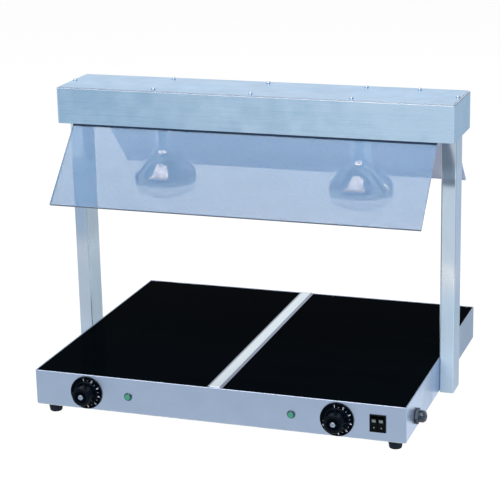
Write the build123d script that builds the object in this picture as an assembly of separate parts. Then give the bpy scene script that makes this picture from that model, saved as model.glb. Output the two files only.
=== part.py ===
from build123d import *
import os
from math import cos, radians, sin, sqrt, tan

# Heated food display: two glass hot plates in a low steel base, with a lamp canopy on two posts.
# Millimetres, +Z up, front towards -Y. Modelled about the middle of the base, then moved back by half
# of what the knobs stand proud, so that the origin is in the middle of the whole footprint.

# Overall layout
BASE_W = 736.0  # side wall to side wall
BASE_D = 600.0
BASE_H = 69.0  # height of the base walls
FOOT_H = 22.0  # table to the lower edge of the base walls
CLEAR_H = 437.0  # base rim to the underside of the canopy
CANOPY_D = 145.0
CANOPY_H = 73.0  # with its lid
POST_W = 27.0  # across the front
POST_D = 53.0

# Base housing
BASE_SHEET = 1.2
BEND_IN_R = 1.8  # inside the vertical corners
RIM = 2.4  # hemmed rim round the glass
LEDGE = 14.0  # width of the ledge under the glass
FLANGE = 12.0  # inward flange at the lower edge of the walls

# Glass hot plates and the strip between them
GLASS_T = 5.0
GLASS_SINK = 0.3  # glass below the rim
GLASS_GAP = 0.5  # all round each plate
GLASS_BEVEL = 0.8
STRIP_WEB = 8.0  # between the plates
STRIP_W = 30.0  # over the plates' edges
STRIP_TOP_W = 19.0
STRIP_EDGE = 0.6
STRIP_T = 2.6  # above the glass
RAIL_W = 40.0
RAIL_H = 22.0

# Heaters under the glass
HEATER_SIDE = 33.0  # heater to the outside of the side wall
HEATER_REAR = 35.0  # heater to the outside of the rear wall
CONTROL_ROOM = 21.8  # ends of the controls to the heater pan
RAIL_ROOM = 12.0  # rail to the heater pan
MICA_T = 2.0
RIBBON_W = 8.0
RIBBON_T = 0.5
RIBBON_COUNT = 8
MAT_T = 20.0
PAN_SHEET = 1.0
PAN_GAP = 2.0  # mat to pan walls
PAN_SEAT = 11.0  # how far the pan's flanges reach under the ledge

# Bottom cover and feet
COVER_SHEET = 1.2
COVER_INSET = 2.0
SLOT_L = 90.0
SLOT_W = 5.0
SLOT_PITCH = 18.0
SLOT_COUNT = 5
FOOT_ROOM_X = 13.8  # middle of a foot to the inner edge of the wall's flange
FOOT_ROOM_Y = 15.3
FOOT_TOP_R = 15.2
FOOT_TIP_R = 12.0
FOOT_BEVEL = 2.0
STEM_R = 3.0
STEM_GAP = 0.2
BARB_LIP = 1.2
BARB_H = 4.0

# Controls on the front wall
CONTROL_DROP = 1.5  # below the middle of the wall
KNOB_LEFT_IN = 107.0  # from the left wall
KNOB_RIGHT_IN = 130.0  # from the right wall
PILOT_LEFT_STEP = 86.0  # from the left knob, inwards
PILOT_RIGHT_STEP = 88.0
SWITCH_IN = 53.0  # from the right wall
SIDES = ("left", "right")

KNOB_GAP = 1.0  # knob to panel
KNOB_R = 32.0
SKIRT_T = 3.0
SKIRT_IN_R = 23.0
HUB_FOOT_R = 21.5
HUB_FOOT_H = 8.0
HUB_TOP_R = 17.5
HUB_BEVEL = 1.5
KNOB_H = 27.5
KNOB_CROWN = 7.0  # in front of the spindle
KNOB_NUT_ROOM = 2.5  # round and in front of the nut and bush
KNOB_SCREW_R = 5.0
KNOB_SCREW_T = 1.5
KNOB_SCREW_SHANK_R = 2.0
KNOB_SCREW_IN = 4.0  # into the spindle

SPINDLE_R = 3.0
SPINDLE_FLAT = 1.0  # depth of the flat on the D shaft
RUN_GAP = 0.05  # shaft to bearing, radial
END_GAP = 0.3
REGULATOR_W = 40.0
REGULATOR_DEPTH = 30.0
SPINDLE_IN = 12.0  # depth of the spindle in the regulator
BUSH_WALL = 1.95
BUSH_GAP = 0.2
BUSH_PROUD = 5.0
NUT_WALL = 2.0
NUT_T = 2.5
BLADE_W = 6.3
BLADE_T = 0.8
BLADE_L = 9.0
BLADE_PITCH = 12.0

LENS_R = 6.2
LENS_SEAT = 1.2
LENS_PROUD = 3.4
LENS_BEVEL = 1.8
PILOT_RING = 2.0  # bezel outside the lens
PILOT_BEZEL_T = 1.4
PILOT_WALL = 0.7  # barrel outside the lens
PILOT_BARREL_L = 24.0
PILOT_GAP = 0.2

SWITCH_W = 30.6
SWITCH_H = 33.2
BEZEL_T = 2.0
BEZEL_LIP = 1.4  # bezel outside the case
CASE_WALL = 1.4
CASE_END_WALL = 1.0  # above and below the rockers
CASE_BACK = 17.0  # behind the rockers
CUTOUT_GAP = 0.2
PARTITION = 2.0
ROCKER_TILT = 10.0  # each way from level
ROCKER_SIDE_GAP = 0.35
ROCKER_END_GAP = 1.2
ROCKER_BACK_GAP = 0.9
ROCKER_FACE = 3.5  # pivot to the valley of the face
ROCKER_BACK = 5.0
ROCKER_TAPER = 5.0  # shorter at the back, at each end
PIVOT_DEPTH = 3.8  # behind the bezel's front
PIN_R = 1.5
PIN_END_GAP = 0.2  # between the pins that meet in the partition

# Mains entry on the right wall
GLAND_IN_Y = 75.0  # from the front wall
GLAND_DROP = 9.5  # below the middle of the wall
GLAND_THREAD_R = 10.0
GLAND_GAP = 0.2
GLAND_FLATS = 27.0
GLAND_HEX_T = 7.0
GLAND_DOME_R = 11.5
GLAND_MOUTH_R = 6.0
GLAND_PROUD = 20.0
GLAND_BORE_R = 4.0
GLAND_TAIL = 10.0  # inside the wall
BLOCK_L = 60.0
BLOCK_W = 22.0
BLOCK_H = 18.0
BLOCK_STEP = 6.0
BLOCK_ROOM = 57.0  # from the right wall

# Posts
POST_SHEET = 1.5
POST_BEND_R = 2.0
POST_LIP = 14.0
POST_DROP = 2.5  # below the base walls
POST_TOP_GAP = 19.5  # below the lid
STRIP_COVER_T = 1.2
COVER_LEG = 10.0
COVER_LEG_GAP = 0.2
POST_BOLT_R = 3.0
POST_BOLT_HEAD = 10.0  # across flats
POST_BOLT_HEAD_T = 4.0
POST_BOLT_L = 12.0
POST_BOLT_EDGE = 17.5  # from the lower and upper edges of the base
BOLT_GAP = 0.2

# Canopy
CANOPY_SHEET = 1.5
CANOPY_BEND_IN_R = 1.5
CANOPY_END_GAP = 3.5  # post to canopy end wall
LID_SHEET = 1.5
LID_INSET = 3.5
LID_FLANGE = 32.0
LID_SCREW_COLUMNS = 3
LID_SCREW_END = 7.5  # from the inside of the end wall
LID_SCREW_EXTRA = 95.0  # one more at the rear, from the right end
LID_SCREW_R = 1.9
LID_SCREW_L = 8.0
LID_SCREW_HEAD_R = 4.0
LID_SCREW_HEAD_T = 3.2
TAB_EDGE = 6.0  # end tab past the bolt
TAB_SIDE = 12.0  # end tab beside the post
POST_HOLE_GAP = 0.5
FLOOR_END_GAP = 0.5
BRACKET_SIDE = 3.5  # narrower than the post, at each side
BRACKET_EDGE = 22.0  # bracket past the bolt
BRACKET_TOP_GAP = 4.0  # below the top of the post
CANOPY_BOLT_ROOM = 3.0  # between the bolt's head and the post's cover

# Guards
GUARD_T = 5.0
GUARD_SLANT = 187.0  # below the canopy
GUARD_TILT = 44.0  # from vertical
GUARD_GRIP = 15.0  # length of guard in its channel
GASKET_T = 1.0
GASKET_SHOW = 7.5  # rubber below the canopy's edge
GASKET_GAP = 0.2  # rubber to the canopy wall
CHANNEL_LIP = 1.5

# Lamps
LAMP_IN_X = 165.0  # from the side wall's plane
LAMP_DROP = 158.0  # lowest point below the canopy
LAMP_R = 62.5
LAMP_WAIST = 35.0  # lowest point to the widest place
LAMP_BAND = 9.0  # straight stretch at the widest place
FLARE_ANGLE = 50.0
FLARE_R = 15.0
SHOULDER_R = 40.0
NECK_R = 21.5
CHIN_R = 25.0  # below the widest place
FACE_ANGLE = 46.0  # widest place to the clear face
CAP_R = 13.0
CAP_L = 26.0
CAP_TAPER = 9.0
NECK_HOLE_GAP = 4.0
HOLDER_GAP = 0.3
HOLDER_SEAT = 6.0  # flange on the floor, outside the neck's hole
HOLDER_FLANGE_T = 4.0
HOLDER_WALL = 7.7
HOLDER_TOP = 19.7

# Places that follow from the sizes above
BASE_TOP = FOOT_H + BASE_H
BASE_MID_Z = FOOT_H + BASE_H / 2
CONTROL_Z = BASE_MID_Z - CONTROL_DROP
CANOPY_Z = BASE_TOP + CLEAR_H
LID_Z = CANOPY_Z + CANOPY_H - LID_SHEET
GLASS_Z = BASE_TOP - GLASS_SINK
LEDGE_Z = GLASS_Z - GLASS_T
WALL_X = BASE_W / 2
PANEL_Y = -BASE_D / 2
PANEL_IN_Y = PANEL_Y + BASE_SHEET
KNOB_X = (KNOB_LEFT_IN - WALL_X, WALL_X - KNOB_RIGHT_IN)
PILOT_X = (KNOB_X[0] + PILOT_LEFT_STEP, KNOB_X[1] - PILOT_RIGHT_STEP)
SWITCH_X = WALL_X - SWITCH_IN
POST_OUT_X = WALL_X + POST_W
CANOPY_L = 2 * (POST_OUT_X + CANOPY_END_GAP + CANOPY_SHEET)
CANOPY_IN_X = CANOPY_L / 2 - CANOPY_SHEET
CANOPY_IN_Y = CANOPY_D / 2 - CANOPY_SHEET
FLOOR_Z = CANOPY_Z + CANOPY_SHEET
FLOOR_TOP = FLOOR_Z + CANOPY_SHEET
KNOB_PROUD = KNOB_GAP + KNOB_H + KNOB_SCREW_T
BUSH_R = SPINDLE_R + RUN_GAP + BUSH_WALL
PILOT_BARREL_R = LENS_R + PILOT_WALL
CASE_W = SWITCH_W - 2 * BEZEL_LIP
CASE_H = SWITCH_H - 2 * BEZEL_LIP
TO_ORIGIN = Pos(0, KNOB_PROUD / 2, 0)

os.makedirs("parts", exist_ok=True)


def keep(node, *solids):
    """Write a node, moved to the part's origin."""
    shape = solids[0] if len(solids) == 1 else Compound(list(solids))
    export_step(TO_ORIGIN * shape, f"parts/{node}.step")


def block(x, y, z):
    """Box between pairs of limits."""
    middle = [(low + high) / 2 for low, high in (x, y, z)]
    return Pos(*middle) * Box(*[abs(high - low) for low, high in (x, y, z)])


def pad(width, depth, z, corner=0.0):
    """Upright prism about the middle of the base, with rounded vertical corners."""
    outline = RectangleRounded(width, depth, corner) if corner else Rectangle(width, depth)
    return Pos(0, 0, z[0]) * extrude(outline, z[1] - z[0])


def rod(start, end, radius):
    """Cylinder from one point to another."""
    axis = Vector(*end) - Vector(*start)
    round_bar = Cylinder(radius, axis.length, align=(Align.CENTER, Align.CENTER, Align.MIN))
    return Plane(start, z_dir=axis) * round_bar


def hex_bar(start, end, flats):
    """Hexagonal bar from one point to another, by its width across flats."""
    axis = Vector(*end) - Vector(*start)
    section = RegularPolygon(flats / 2, 6, major_radius=False)
    return Plane(start, z_dir=axis) * extrude(section, axis.length)


def turned(outline, origin, along):
    """Solid of revolution from a closed outline in (radius, height), with height running along."""
    return Plane(origin, z_dir=along) * revolve(make_face(Plane.XZ * outline), Axis.Z)


def turned_points(points, origin, along):
    return turned(Polyline(*points, close=True), origin, along)


def section_x(points, length):
    """Prism along X, about x = 0, from an outline in (y, z)."""
    return extrude(Plane.YZ * make_face(Polyline(*points, close=True)), length / 2, both=True)


def mirrored(side):
    return -1 if side == "left" else 1


def at_panel(x, depth):
    """Point on a control's axis, by its depth behind the front panel."""
    return (x, PANEL_Y + depth, CONTROL_Z)


# Base housing: one folded sheet box with a hemmed rim, a ledge for the glass and a lower flange
housing = pad(BASE_W, BASE_D, (FOOT_H, BASE_TOP), BEND_IN_R + BASE_SHEET)
inside = 2 * BASE_SHEET
inside_z = (FOOT_H + BASE_SHEET, LEDGE_Z - BASE_SHEET)
housing -= pad(BASE_W - inside, BASE_D - inside, inside_z, BEND_IN_R)
lower_opening = 2 * (BASE_SHEET + FLANGE)
housing -= pad(BASE_W - lower_opening, BASE_D - lower_opening, (FOOT_H, FOOT_H + BASE_SHEET))
ledge_opening = 2 * (RIM + LEDGE)
housing -= pad(BASE_W - ledge_opening, BASE_D - ledge_opening, (LEDGE_Z - BASE_SHEET, LEDGE_Z))
housing -= pad(BASE_W - 2 * RIM, BASE_D - 2 * RIM, (LEDGE_Z, BASE_TOP))
for x in KNOB_X:
    housing -= rod(at_panel(x, 0), at_panel(x, BASE_SHEET), BUSH_R + BUSH_GAP)
for x in PILOT_X:
    housing -= rod(at_panel(x, 0), at_panel(x, BASE_SHEET), PILOT_BARREL_R + PILOT_GAP)
cutout_x = (SWITCH_X - CASE_W / 2 - CUTOUT_GAP, SWITCH_X + CASE_W / 2 + CUTOUT_GAP)
cutout_z = (CONTROL_Z - CASE_H / 2 - CUTOUT_GAP, CONTROL_Z + CASE_H / 2 + CUTOUT_GAP)
housing -= block(cutout_x, (PANEL_Y, PANEL_Y + BASE_SHEET), cutout_z)
gland_y = PANEL_Y + GLAND_IN_Y
gland_z = BASE_MID_Z - GLAND_DROP
gland_at = (WALL_X, gland_y, gland_z)
housing -= rod((WALL_X - BASE_SHEET, gland_y, gland_z), gland_at, GLAND_THREAD_R + GLAND_GAP)
lip_middle = POST_D / 2 - POST_LIP / 2
post_bolt_yz = [(-lip_middle, FOOT_H + POST_BOLT_EDGE), (lip_middle, BASE_TOP - POST_BOLT_EDGE)]
post_bolt_places = [(hand, y, z) for hand in (-1, 1) for y, z in post_bolt_yz]
for hand, y, z in post_bolt_places:
    housing -= rod((hand * (WALL_X - BASE_SHEET), y, z), (hand * WALL_X, y, z), POST_BOLT_R + BOLT_GAP)
keep("base_housing", housing)

# Bottom cover with two banks of air slots, and a hole for the stem of each foot
foot_x = WALL_X - BASE_SHEET - FLANGE - FOOT_ROOM_X
foot_y = BASE_D / 2 - BASE_SHEET - FLANGE - FOOT_ROOM_Y
foot_places = [(x, y) for x in (-foot_x, foot_x) for y in (-foot_y, foot_y)]
heater_in_x = RAIL_W / 2 + RAIL_ROOM + PAN_SHEET + PAN_GAP
heater_out_x = WALL_X - HEATER_SIDE
slot_bank_x = (heater_in_x + heater_out_x) / 2
cover_z = (FOOT_H - COVER_SHEET, FOOT_H)
cover = pad(BASE_W - 2 * COVER_INSET, BASE_D - 2 * COVER_INSET, cover_z)
slot = Box(SLOT_L, SLOT_W, COVER_SHEET)
for bank_x in (-slot_bank_x, slot_bank_x):
    for row in range(SLOT_COUNT):
        slot_y = (row - (SLOT_COUNT - 1) / 2) * SLOT_PITCH
        cover -= Pos(bank_x, slot_y, FOOT_H - COVER_SHEET / 2) * slot
for x, y in foot_places:
    cover -= rod((x, y, cover_z[0]), (x, y, cover_z[1]), STEM_R + STEM_GAP)
keep("bottom_cover", cover)

# Feet: tapered rubber, each with a barbed stem pushed through the cover
foot_outline = [
    (0, 0),
    (FOOT_TIP_R - FOOT_BEVEL, 0),
    (FOOT_TIP_R, FOOT_BEVEL),
    (FOOT_TOP_R, cover_z[0]),
    (STEM_R, cover_z[0]),
    (STEM_R, cover_z[1]),
    (STEM_R + BARB_LIP, cover_z[1]),
    (STEM_R, cover_z[1] + BARB_H),
    (0, cover_z[1] + BARB_H),
]
keep("feet", *[turned_points(foot_outline, (x, y, 0), (0, 0, 1)) for x, y in foot_places])

# Glass hot plates, flush in the rim, with a small bevel round the top
glass_out_x = WALL_X - RIM - GLASS_GAP
glass_in_x = STRIP_WEB / 2 + GLASS_GAP
glass_y = BASE_D / 2 - RIM - GLASS_GAP
for side in SIDES:
    hand = mirrored(side)
    plate = block((hand * glass_in_x, hand * glass_out_x), (-glass_y, glass_y), (LEDGE_Z, GLASS_Z))
    keep(f"glass_plate_{side}", chamfer(plate.faces().sort_by(Axis.Z)[-1].edges(), GLASS_BEVEL))

# Strip that covers the joint between the plates, and the rail that carries their inner edges
strip_half = [
    (STRIP_WEB / 2, LEDGE_Z),
    (STRIP_WEB / 2, GLASS_Z),
    (STRIP_W / 2, GLASS_Z),
    (STRIP_W / 2, GLASS_Z + STRIP_EDGE),
    (STRIP_TOP_W / 2, GLASS_Z + STRIP_T),
]
strip_outline = Polyline(*strip_half, *[(-x, z) for x, z in reversed(strip_half)], close=True)
keep("centre_strip", extrude(Plane.XZ * make_face(strip_outline), glass_y, both=True))
rail_y = BASE_D / 2 - RIM - LEDGE
rail = block((-RAIL_W / 2, RAIL_W / 2), (-rail_y, rail_y), (LEDGE_Z - RAIL_H, LEDGE_Z))
rail_in = RAIL_W / 2 - BASE_SHEET
rail -= block((-rail_in, rail_in), (-rail_y, rail_y), (LEDGE_Z - RAIL_H, LEDGE_Z - BASE_SHEET))
keep("centre_rail", rail)

# Heaters: resistance ribbon wound on a mica card, pressed up against the glass by a mat in a pan
mica_z = LEDGE_Z - MICA_T
ribbon_z = mica_z - RIBBON_T
pan_floor_z = ribbon_z - MAT_T
flange_z = (LEDGE_Z - BASE_SHEET - PAN_SHEET, LEDGE_Z - BASE_SHEET)
controls_end = PANEL_IN_Y + REGULATOR_DEPTH + BLADE_L
heater_y = (controls_end + CONTROL_ROOM + PAN_SHEET + PAN_GAP, BASE_D / 2 - HEATER_REAR)
ribbon_pitch = (heater_y[1] - heater_y[0]) / RIBBON_COUNT
pan_y = (heater_y[0] - PAN_GAP, heater_y[1] + PAN_GAP)
flange_reach = BASE_D / 2 - RIM - LEDGE + PAN_SEAT
for side in SIDES:
    heater_x = (-heater_out_x, -heater_in_x) if side == "left" else (heater_in_x, heater_out_x)
    heater = block(heater_x, heater_y, (mica_z, LEDGE_Z))
    for turn in range(RIBBON_COUNT):
        ribbon_y = heater_y[0] + (turn + 0.5) * ribbon_pitch
        ribbon_limits = (ribbon_y - RIBBON_W / 2, ribbon_y + RIBBON_W / 2)
        heater += block(heater_x, ribbon_limits, (ribbon_z, mica_z))
    keep(f"heater_{side}", heater)
    keep(f"insulation_mat_{side}", block(heater_x, heater_y, (pan_floor_z, ribbon_z)))
    pan_x = (heater_x[0] - PAN_GAP, heater_x[1] + PAN_GAP)
    wall_x = (pan_x[0] - PAN_SHEET, pan_x[1] + PAN_SHEET)
    wall_y = (pan_y[0] - PAN_SHEET, pan_y[1] + PAN_SHEET)
    pan = block(wall_x, wall_y, (pan_floor_z - PAN_SHEET, flange_z[1]))
    pan += block(wall_x, (-flange_reach, flange_reach), flange_z)
    pan -= block(pan_x, pan_y, (pan_floor_z, flange_z[1]))
    keep(f"heater_pan_{side}", pan)

# Energy regulators behind the panel, each clamped by a nut on its bush
regulator_nuts = []
regulator_z = (CONTROL_Z - REGULATOR_W / 2, CONTROL_Z + REGULATOR_W / 2)
regulator_back = PANEL_IN_Y + REGULATOR_DEPTH
spindle_end = BASE_SHEET + SPINDLE_IN
nut_flats = 2 * (BUSH_R + NUT_WALL)
for side, x in zip(SIDES, KNOB_X):
    body = block((x - REGULATOR_W / 2, x + REGULATOR_W / 2), (PANEL_IN_Y, regulator_back), regulator_z)
    body += rod(at_panel(x, -BUSH_PROUD), at_panel(x, BASE_SHEET), BUSH_R)
    body -= rod(at_panel(x, -BUSH_PROUD), at_panel(x, spindle_end + END_GAP), SPINDLE_R + RUN_GAP)
    for blade_x in (x - BLADE_PITCH, x, x + BLADE_PITCH):
        blade_limits = (blade_x - BLADE_T / 2, blade_x + BLADE_T / 2)
        blade_z = (CONTROL_Z - BLADE_W / 2, CONTROL_Z + BLADE_W / 2)
        body += block(blade_limits, (regulator_back, regulator_back + BLADE_L), blade_z)
    keep(f"regulator_{side}", body)
    nut = hex_bar(at_panel(x, 0), at_panel(x, -NUT_T), nut_flats)
    regulator_nuts.append(nut - rod(at_panel(x, 0), at_panel(x, -NUT_T), BUSH_R))
keep("regulator_nuts", *regulator_nuts)

# Knobs: turned skirt and tapered hub on a D shaft, held by a screw into the end of the shaft
knob_outline = [
    (0, 0),
    (KNOB_R, 0),
    (KNOB_R, SKIRT_T),
    (SKIRT_IN_R, SKIRT_T),
    (HUB_FOOT_R, HUB_FOOT_H),
    (HUB_TOP_R, KNOB_H - HUB_BEVEL),
    (HUB_TOP_R - HUB_BEVEL, KNOB_H),
    (0, KNOB_H),
]
knob_front = -KNOB_GAP - KNOB_H
grip_end = knob_front + KNOB_CROWN
shank_end = grip_end + KNOB_SCREW_IN
hollow_end = -BUSH_PROUD - KNOB_NUT_ROOM
hollow_r = nut_flats / sqrt(3) + KNOB_NUT_ROOM
for side, x in zip(SIDES, KNOB_X):
    spindle = rod(at_panel(x, grip_end), at_panel(x, spindle_end), SPINDLE_R)
    flat_z = CONTROL_Z + SPINDLE_R - SPINDLE_FLAT
    flat_y = (PANEL_Y + grip_end, PANEL_Y - BUSH_PROUD)
    spindle -= block((x - SPINDLE_R, x + SPINDLE_R), flat_y, (flat_z, flat_z + SPINDLE_R))
    shank = rod(at_panel(x, knob_front), at_panel(x, shank_end), KNOB_SCREW_SHANK_R)
    knob = turned_points(knob_outline, at_panel(x, -KNOB_GAP), (0, -1, 0))
    knob -= rod(at_panel(x, -KNOB_GAP), at_panel(x, hollow_end), hollow_r)
    keep(f"knob_{side}", knob - spindle - shank)
    keep(f"regulator_spindle_{side}", spindle - shank)
    head = rod(at_panel(x, knob_front), at_panel(x, knob_front - KNOB_SCREW_T), KNOB_SCREW_R)
    keep(f"knob_screw_{side}", head + shank)

# Pilot lamps: bright bezel and barrel through the panel, with a green lens seated in the front
lens_front = PILOT_BEZEL_T + LENS_PROUD
lens_outline = [
    (0, PILOT_BEZEL_T - LENS_SEAT),
    (LENS_R, PILOT_BEZEL_T - LENS_SEAT),
    (LENS_R, lens_front - LENS_BEVEL),
    (LENS_R - LENS_BEVEL, lens_front),
    (0, lens_front),
]
pilot_bodies = []
pilot_lenses = []
for x in PILOT_X:
    barrel = rod(at_panel(x, 0), at_panel(x, PILOT_BARREL_L), PILOT_BARREL_R)
    bezel = rod(at_panel(x, -PILOT_BEZEL_T), at_panel(x, 0), LENS_R + PILOT_RING)
    seat = rod(at_panel(x, -PILOT_BEZEL_T), at_panel(x, LENS_SEAT - PILOT_BEZEL_T), LENS_R)
    pilot_bodies.append(barrel + bezel - seat)
    pilot_lenses.append(turned_points(lens_outline, at_panel(x, 0), (0, -1, 0)))
keep("pilot_bodies", *pilot_bodies)
keep("pilot_lenses", *pilot_lenses)

# Switch: snap-in case with a partition, and two rockers on pivot pins
tilt = radians(ROCKER_TILT)
pocket_w = CASE_W - 2 * CASE_WALL
pocket_h = CASE_H - 2 * CASE_END_WALL
rocker_half = pocket_h / 2 - ROCKER_END_GAP
rocker_back_half = rocker_half - ROCKER_TAPER
heel_depth = ROCKER_BACK * cos(tilt) + rocker_back_half * sin(tilt)
pocket_depth = PIVOT_DEPTH + heel_depth + ROCKER_BACK_GAP
switch_at = Pos(SWITCH_X, PANEL_Y - BEZEL_T, CONTROL_Z)
pivot_at = switch_at * Pos(0, PIVOT_DEPTH, 0)
bezel_half = SWITCH_W / 2
case_half = CASE_W / 2
pocket_half = pocket_w / 2
pocket_z = (-pocket_h / 2, pocket_h / 2)
case_end = pocket_depth + CASE_BACK
case = block((-bezel_half, bezel_half), (0, BEZEL_T), (-SWITCH_H / 2, SWITCH_H / 2))
case += block((-case_half, case_half), (BEZEL_T, case_end), (-CASE_H / 2, CASE_H / 2))
case -= block((-pocket_half, pocket_half), (0, pocket_depth), pocket_z)
case += block((-PARTITION / 2, PARTITION / 2), (BEZEL_T, pocket_depth), pocket_z)
socket_x = pocket_half + PARTITION / 2
case -= rod((-socket_x, PIVOT_DEPTH, 0), (socket_x, PIVOT_DEPTH, 0), PIN_R + RUN_GAP)
for blade_x in (-BLADE_PITCH / 2, BLADE_PITCH / 2):
    for blade_z in (-BLADE_PITCH / 2, BLADE_PITCH / 2):
        case += Pos(blade_x, case_end + BLADE_L / 2, blade_z) * Box(BLADE_T, BLADE_L, BLADE_W)
keep("switch_case", switch_at * case)

bay_w = (pocket_w - PARTITION) / 2
rocker_w = bay_w - 2 * ROCKER_SIDE_GAP
tip_reach = ROCKER_FACE + rocker_half * tan(tilt)
rocker_outline = [
    (-ROCKER_FACE, 0),
    (-tip_reach, rocker_half),
    (ROCKER_BACK, rocker_back_half),
    (ROCKER_BACK, -rocker_back_half),
    (-tip_reach, -rocker_half),
]
pin_half = bay_w / 2 + (PARTITION - PIN_END_GAP) / 2
rocker = section_x(rocker_outline, rocker_w) + rod((-pin_half, 0, 0), (pin_half, 0, 0), PIN_R)
for side in SIDES:
    bay_x = mirrored(side) * (PARTITION + bay_w) / 2
    keep(f"rocker_{side}", pivot_at * Pos(bay_x, 0, 0) * Rot(ROCKER_TILT, 0, 0) * rocker)

# Mains entry: cable gland through the right wall, and the terminal block on the bottom cover
gland_outline = [
    (GLAND_BORE_R, -GLAND_TAIL),
    (GLAND_THREAD_R, -GLAND_TAIL),
    (GLAND_THREAD_R, GLAND_HEX_T),
    (GLAND_DOME_R, GLAND_HEX_T),
    (GLAND_MOUTH_R, GLAND_PROUD),
    (GLAND_BORE_R, GLAND_PROUD),
]
gland_hex_end = (WALL_X + GLAND_HEX_T, gland_y, gland_z)
gland_hex = hex_bar(gland_at, gland_hex_end, GLAND_FLATS) - rod(gland_at, gland_hex_end, GLAND_BORE_R)
keep("cord_gland", turned_points(gland_outline, gland_at, (1, 0, 0)) + gland_hex)
block_half = BLOCK_W / 2
step_in = block_half - BLOCK_STEP
block_outline = [
    (-block_half, 0),
    (block_half, 0),
    (block_half, BLOCK_H - BLOCK_STEP),
    (step_in, BLOCK_H - BLOCK_STEP),
    (step_in, BLOCK_H),
    (-step_in, BLOCK_H),
    (-step_in, BLOCK_H - BLOCK_STEP),
    (-block_half, BLOCK_H - BLOCK_STEP),
]
terminals = extrude(Plane.XZ * make_face(Polyline(*block_outline, close=True)), BLOCK_L / 2, both=True)
keep("terminal_block", Pos(WALL_X - BLOCK_ROOM - block_half, gland_y, FOOT_H) * terminals)

# Posts: lipped channels on the side walls, closed above the base by cover strips that clip in
post_z = (FOOT_H - POST_DROP, LID_Z - POST_TOP_GAP)
post_height = post_z[1] - post_z[0]
post_mouth = POST_D - 2 * POST_LIP
for side in SIDES:
    hand = mirrored(side)
    section = RectangleRounded(POST_W, POST_D, POST_BEND_R)
    section -= Rectangle(POST_W - 2 * POST_SHEET, POST_D - 2 * POST_SHEET)
    section -= Pos(-POST_W / 2, 0) * Rectangle(POST_W, post_mouth)
    post = Pos(WALL_X + POST_W / 2, 0, post_z[0]) * extrude(section, post_height)
    for y, z in post_bolt_yz:
        post -= rod((WALL_X, y, z), (WALL_X + POST_SHEET, y, z), POST_BOLT_R)
    strip_z = (BASE_TOP, CANOPY_Z)
    strip = block((WALL_X - STRIP_COVER_T, WALL_X), (-POST_D / 2, POST_D / 2), strip_z)
    leg_out = post_mouth / 2 - COVER_LEG_GAP
    for leg_hand in (-1, 1):
        leg_y = (leg_hand * leg_out, leg_hand * (leg_out - STRIP_COVER_T))
        strip += block((WALL_X, WALL_X + COVER_LEG), leg_y, strip_z)
    if hand < 0:
        post = mirror(post, Plane.YZ)
        strip = mirror(strip, Plane.YZ)
    keep(f"post_{side}", post)
    keep(f"post_cover_{side}", strip)
post_bolts = []
for hand, y, z in post_bolt_places:
    seat_x = WALL_X - BASE_SHEET
    seat = (hand * seat_x, y, z)
    head = hex_bar((hand * (seat_x - POST_BOLT_HEAD_T), y, z), seat, POST_BOLT_HEAD)
    post_bolts.append(head + rod(seat, (hand * (seat_x + POST_BOLT_L), y, z), POST_BOLT_R))
keep("post_bolts", *post_bolts)

# Canopy body: four walls with an inward flange under the lid and an end tab round each post
screw_line_x = CANOPY_IN_X - LID_SCREW_END
screw_line_y = CANOPY_IN_Y - LID_FLANGE / 2
screw_pitch = CANOPY_L / (LID_SCREW_COLUMNS + 1)
screw_columns = [screw_pitch * (column + 1) - CANOPY_L / 2 for column in range(LID_SCREW_COLUMNS)]
lid_screw_places = [(x, y) for x in screw_columns for y in (-screw_line_y, screw_line_y)]
lid_screw_places += [(-screw_line_x, 0), (screw_line_x, 0)]
lid_screw_places += [(CANOPY_L / 2 - LID_SCREW_EXTRA, screw_line_y)]
canopy_corner = CANOPY_BEND_IN_R + CANOPY_SHEET
flange_under = LID_Z - CANOPY_SHEET
lid_opening = (2 * (CANOPY_IN_X - LID_FLANGE), 2 * (CANOPY_IN_Y - LID_FLANGE))
body = pad(CANOPY_L, CANOPY_D, (CANOPY_Z, LID_Z), canopy_corner)
body -= pad(2 * CANOPY_IN_X, 2 * CANOPY_IN_Y, (CANOPY_Z, flange_under), CANOPY_BEND_IN_R)
body -= pad(*lid_opening, (flange_under, LID_Z))
for x, y in lid_screw_places:
    body -= rod((x, y, flange_under), (x, y, LID_Z), LID_SCREW_R)
hole_y = POST_D / 2 + POST_HOLE_GAP
tab_y = POST_D / 2 + TAB_SIDE
tab_z = (CANOPY_Z, FLOOR_Z)
canopy_bolt_x = WALL_X - STRIP_COVER_T - CANOPY_BOLT_ROOM - POST_BOLT_HEAD / sqrt(3)
for hand in (-1, 1):
    bolt_x = hand * canopy_bolt_x
    tab = block((hand * (canopy_bolt_x - TAB_EDGE), hand * CANOPY_IN_X), (-tab_y, tab_y), tab_z)
    tab -= block((hand * (WALL_X - POST_HOLE_GAP), hand * CANOPY_IN_X), (-hole_y, hole_y), tab_z)
    body += tab - rod((bolt_x, 0, CANOPY_Z), (bolt_x, 0, FLOOR_Z), POST_BOLT_R + BOLT_GAP)
keep("canopy_body", body)

lid_size = (CANOPY_L - 2 * LID_INSET, CANOPY_D - 2 * LID_INSET)
lid = pad(*lid_size, (LID_Z, LID_Z + LID_SHEET), canopy_corner)
lid_screws = []
for x, y in lid_screw_places:
    head_z = LID_Z + LID_SHEET
    shank = rod((x, y, head_z - LID_SCREW_L), (x, y, head_z), LID_SCREW_R)
    lid -= shank
    lid_screws.append(rod((x, y, head_z), (x, y, head_z + LID_SCREW_HEAD_T), LID_SCREW_HEAD_R) + shank)
keep("canopy_lid", lid)
keep("lid_screws", *lid_screws)

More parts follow.
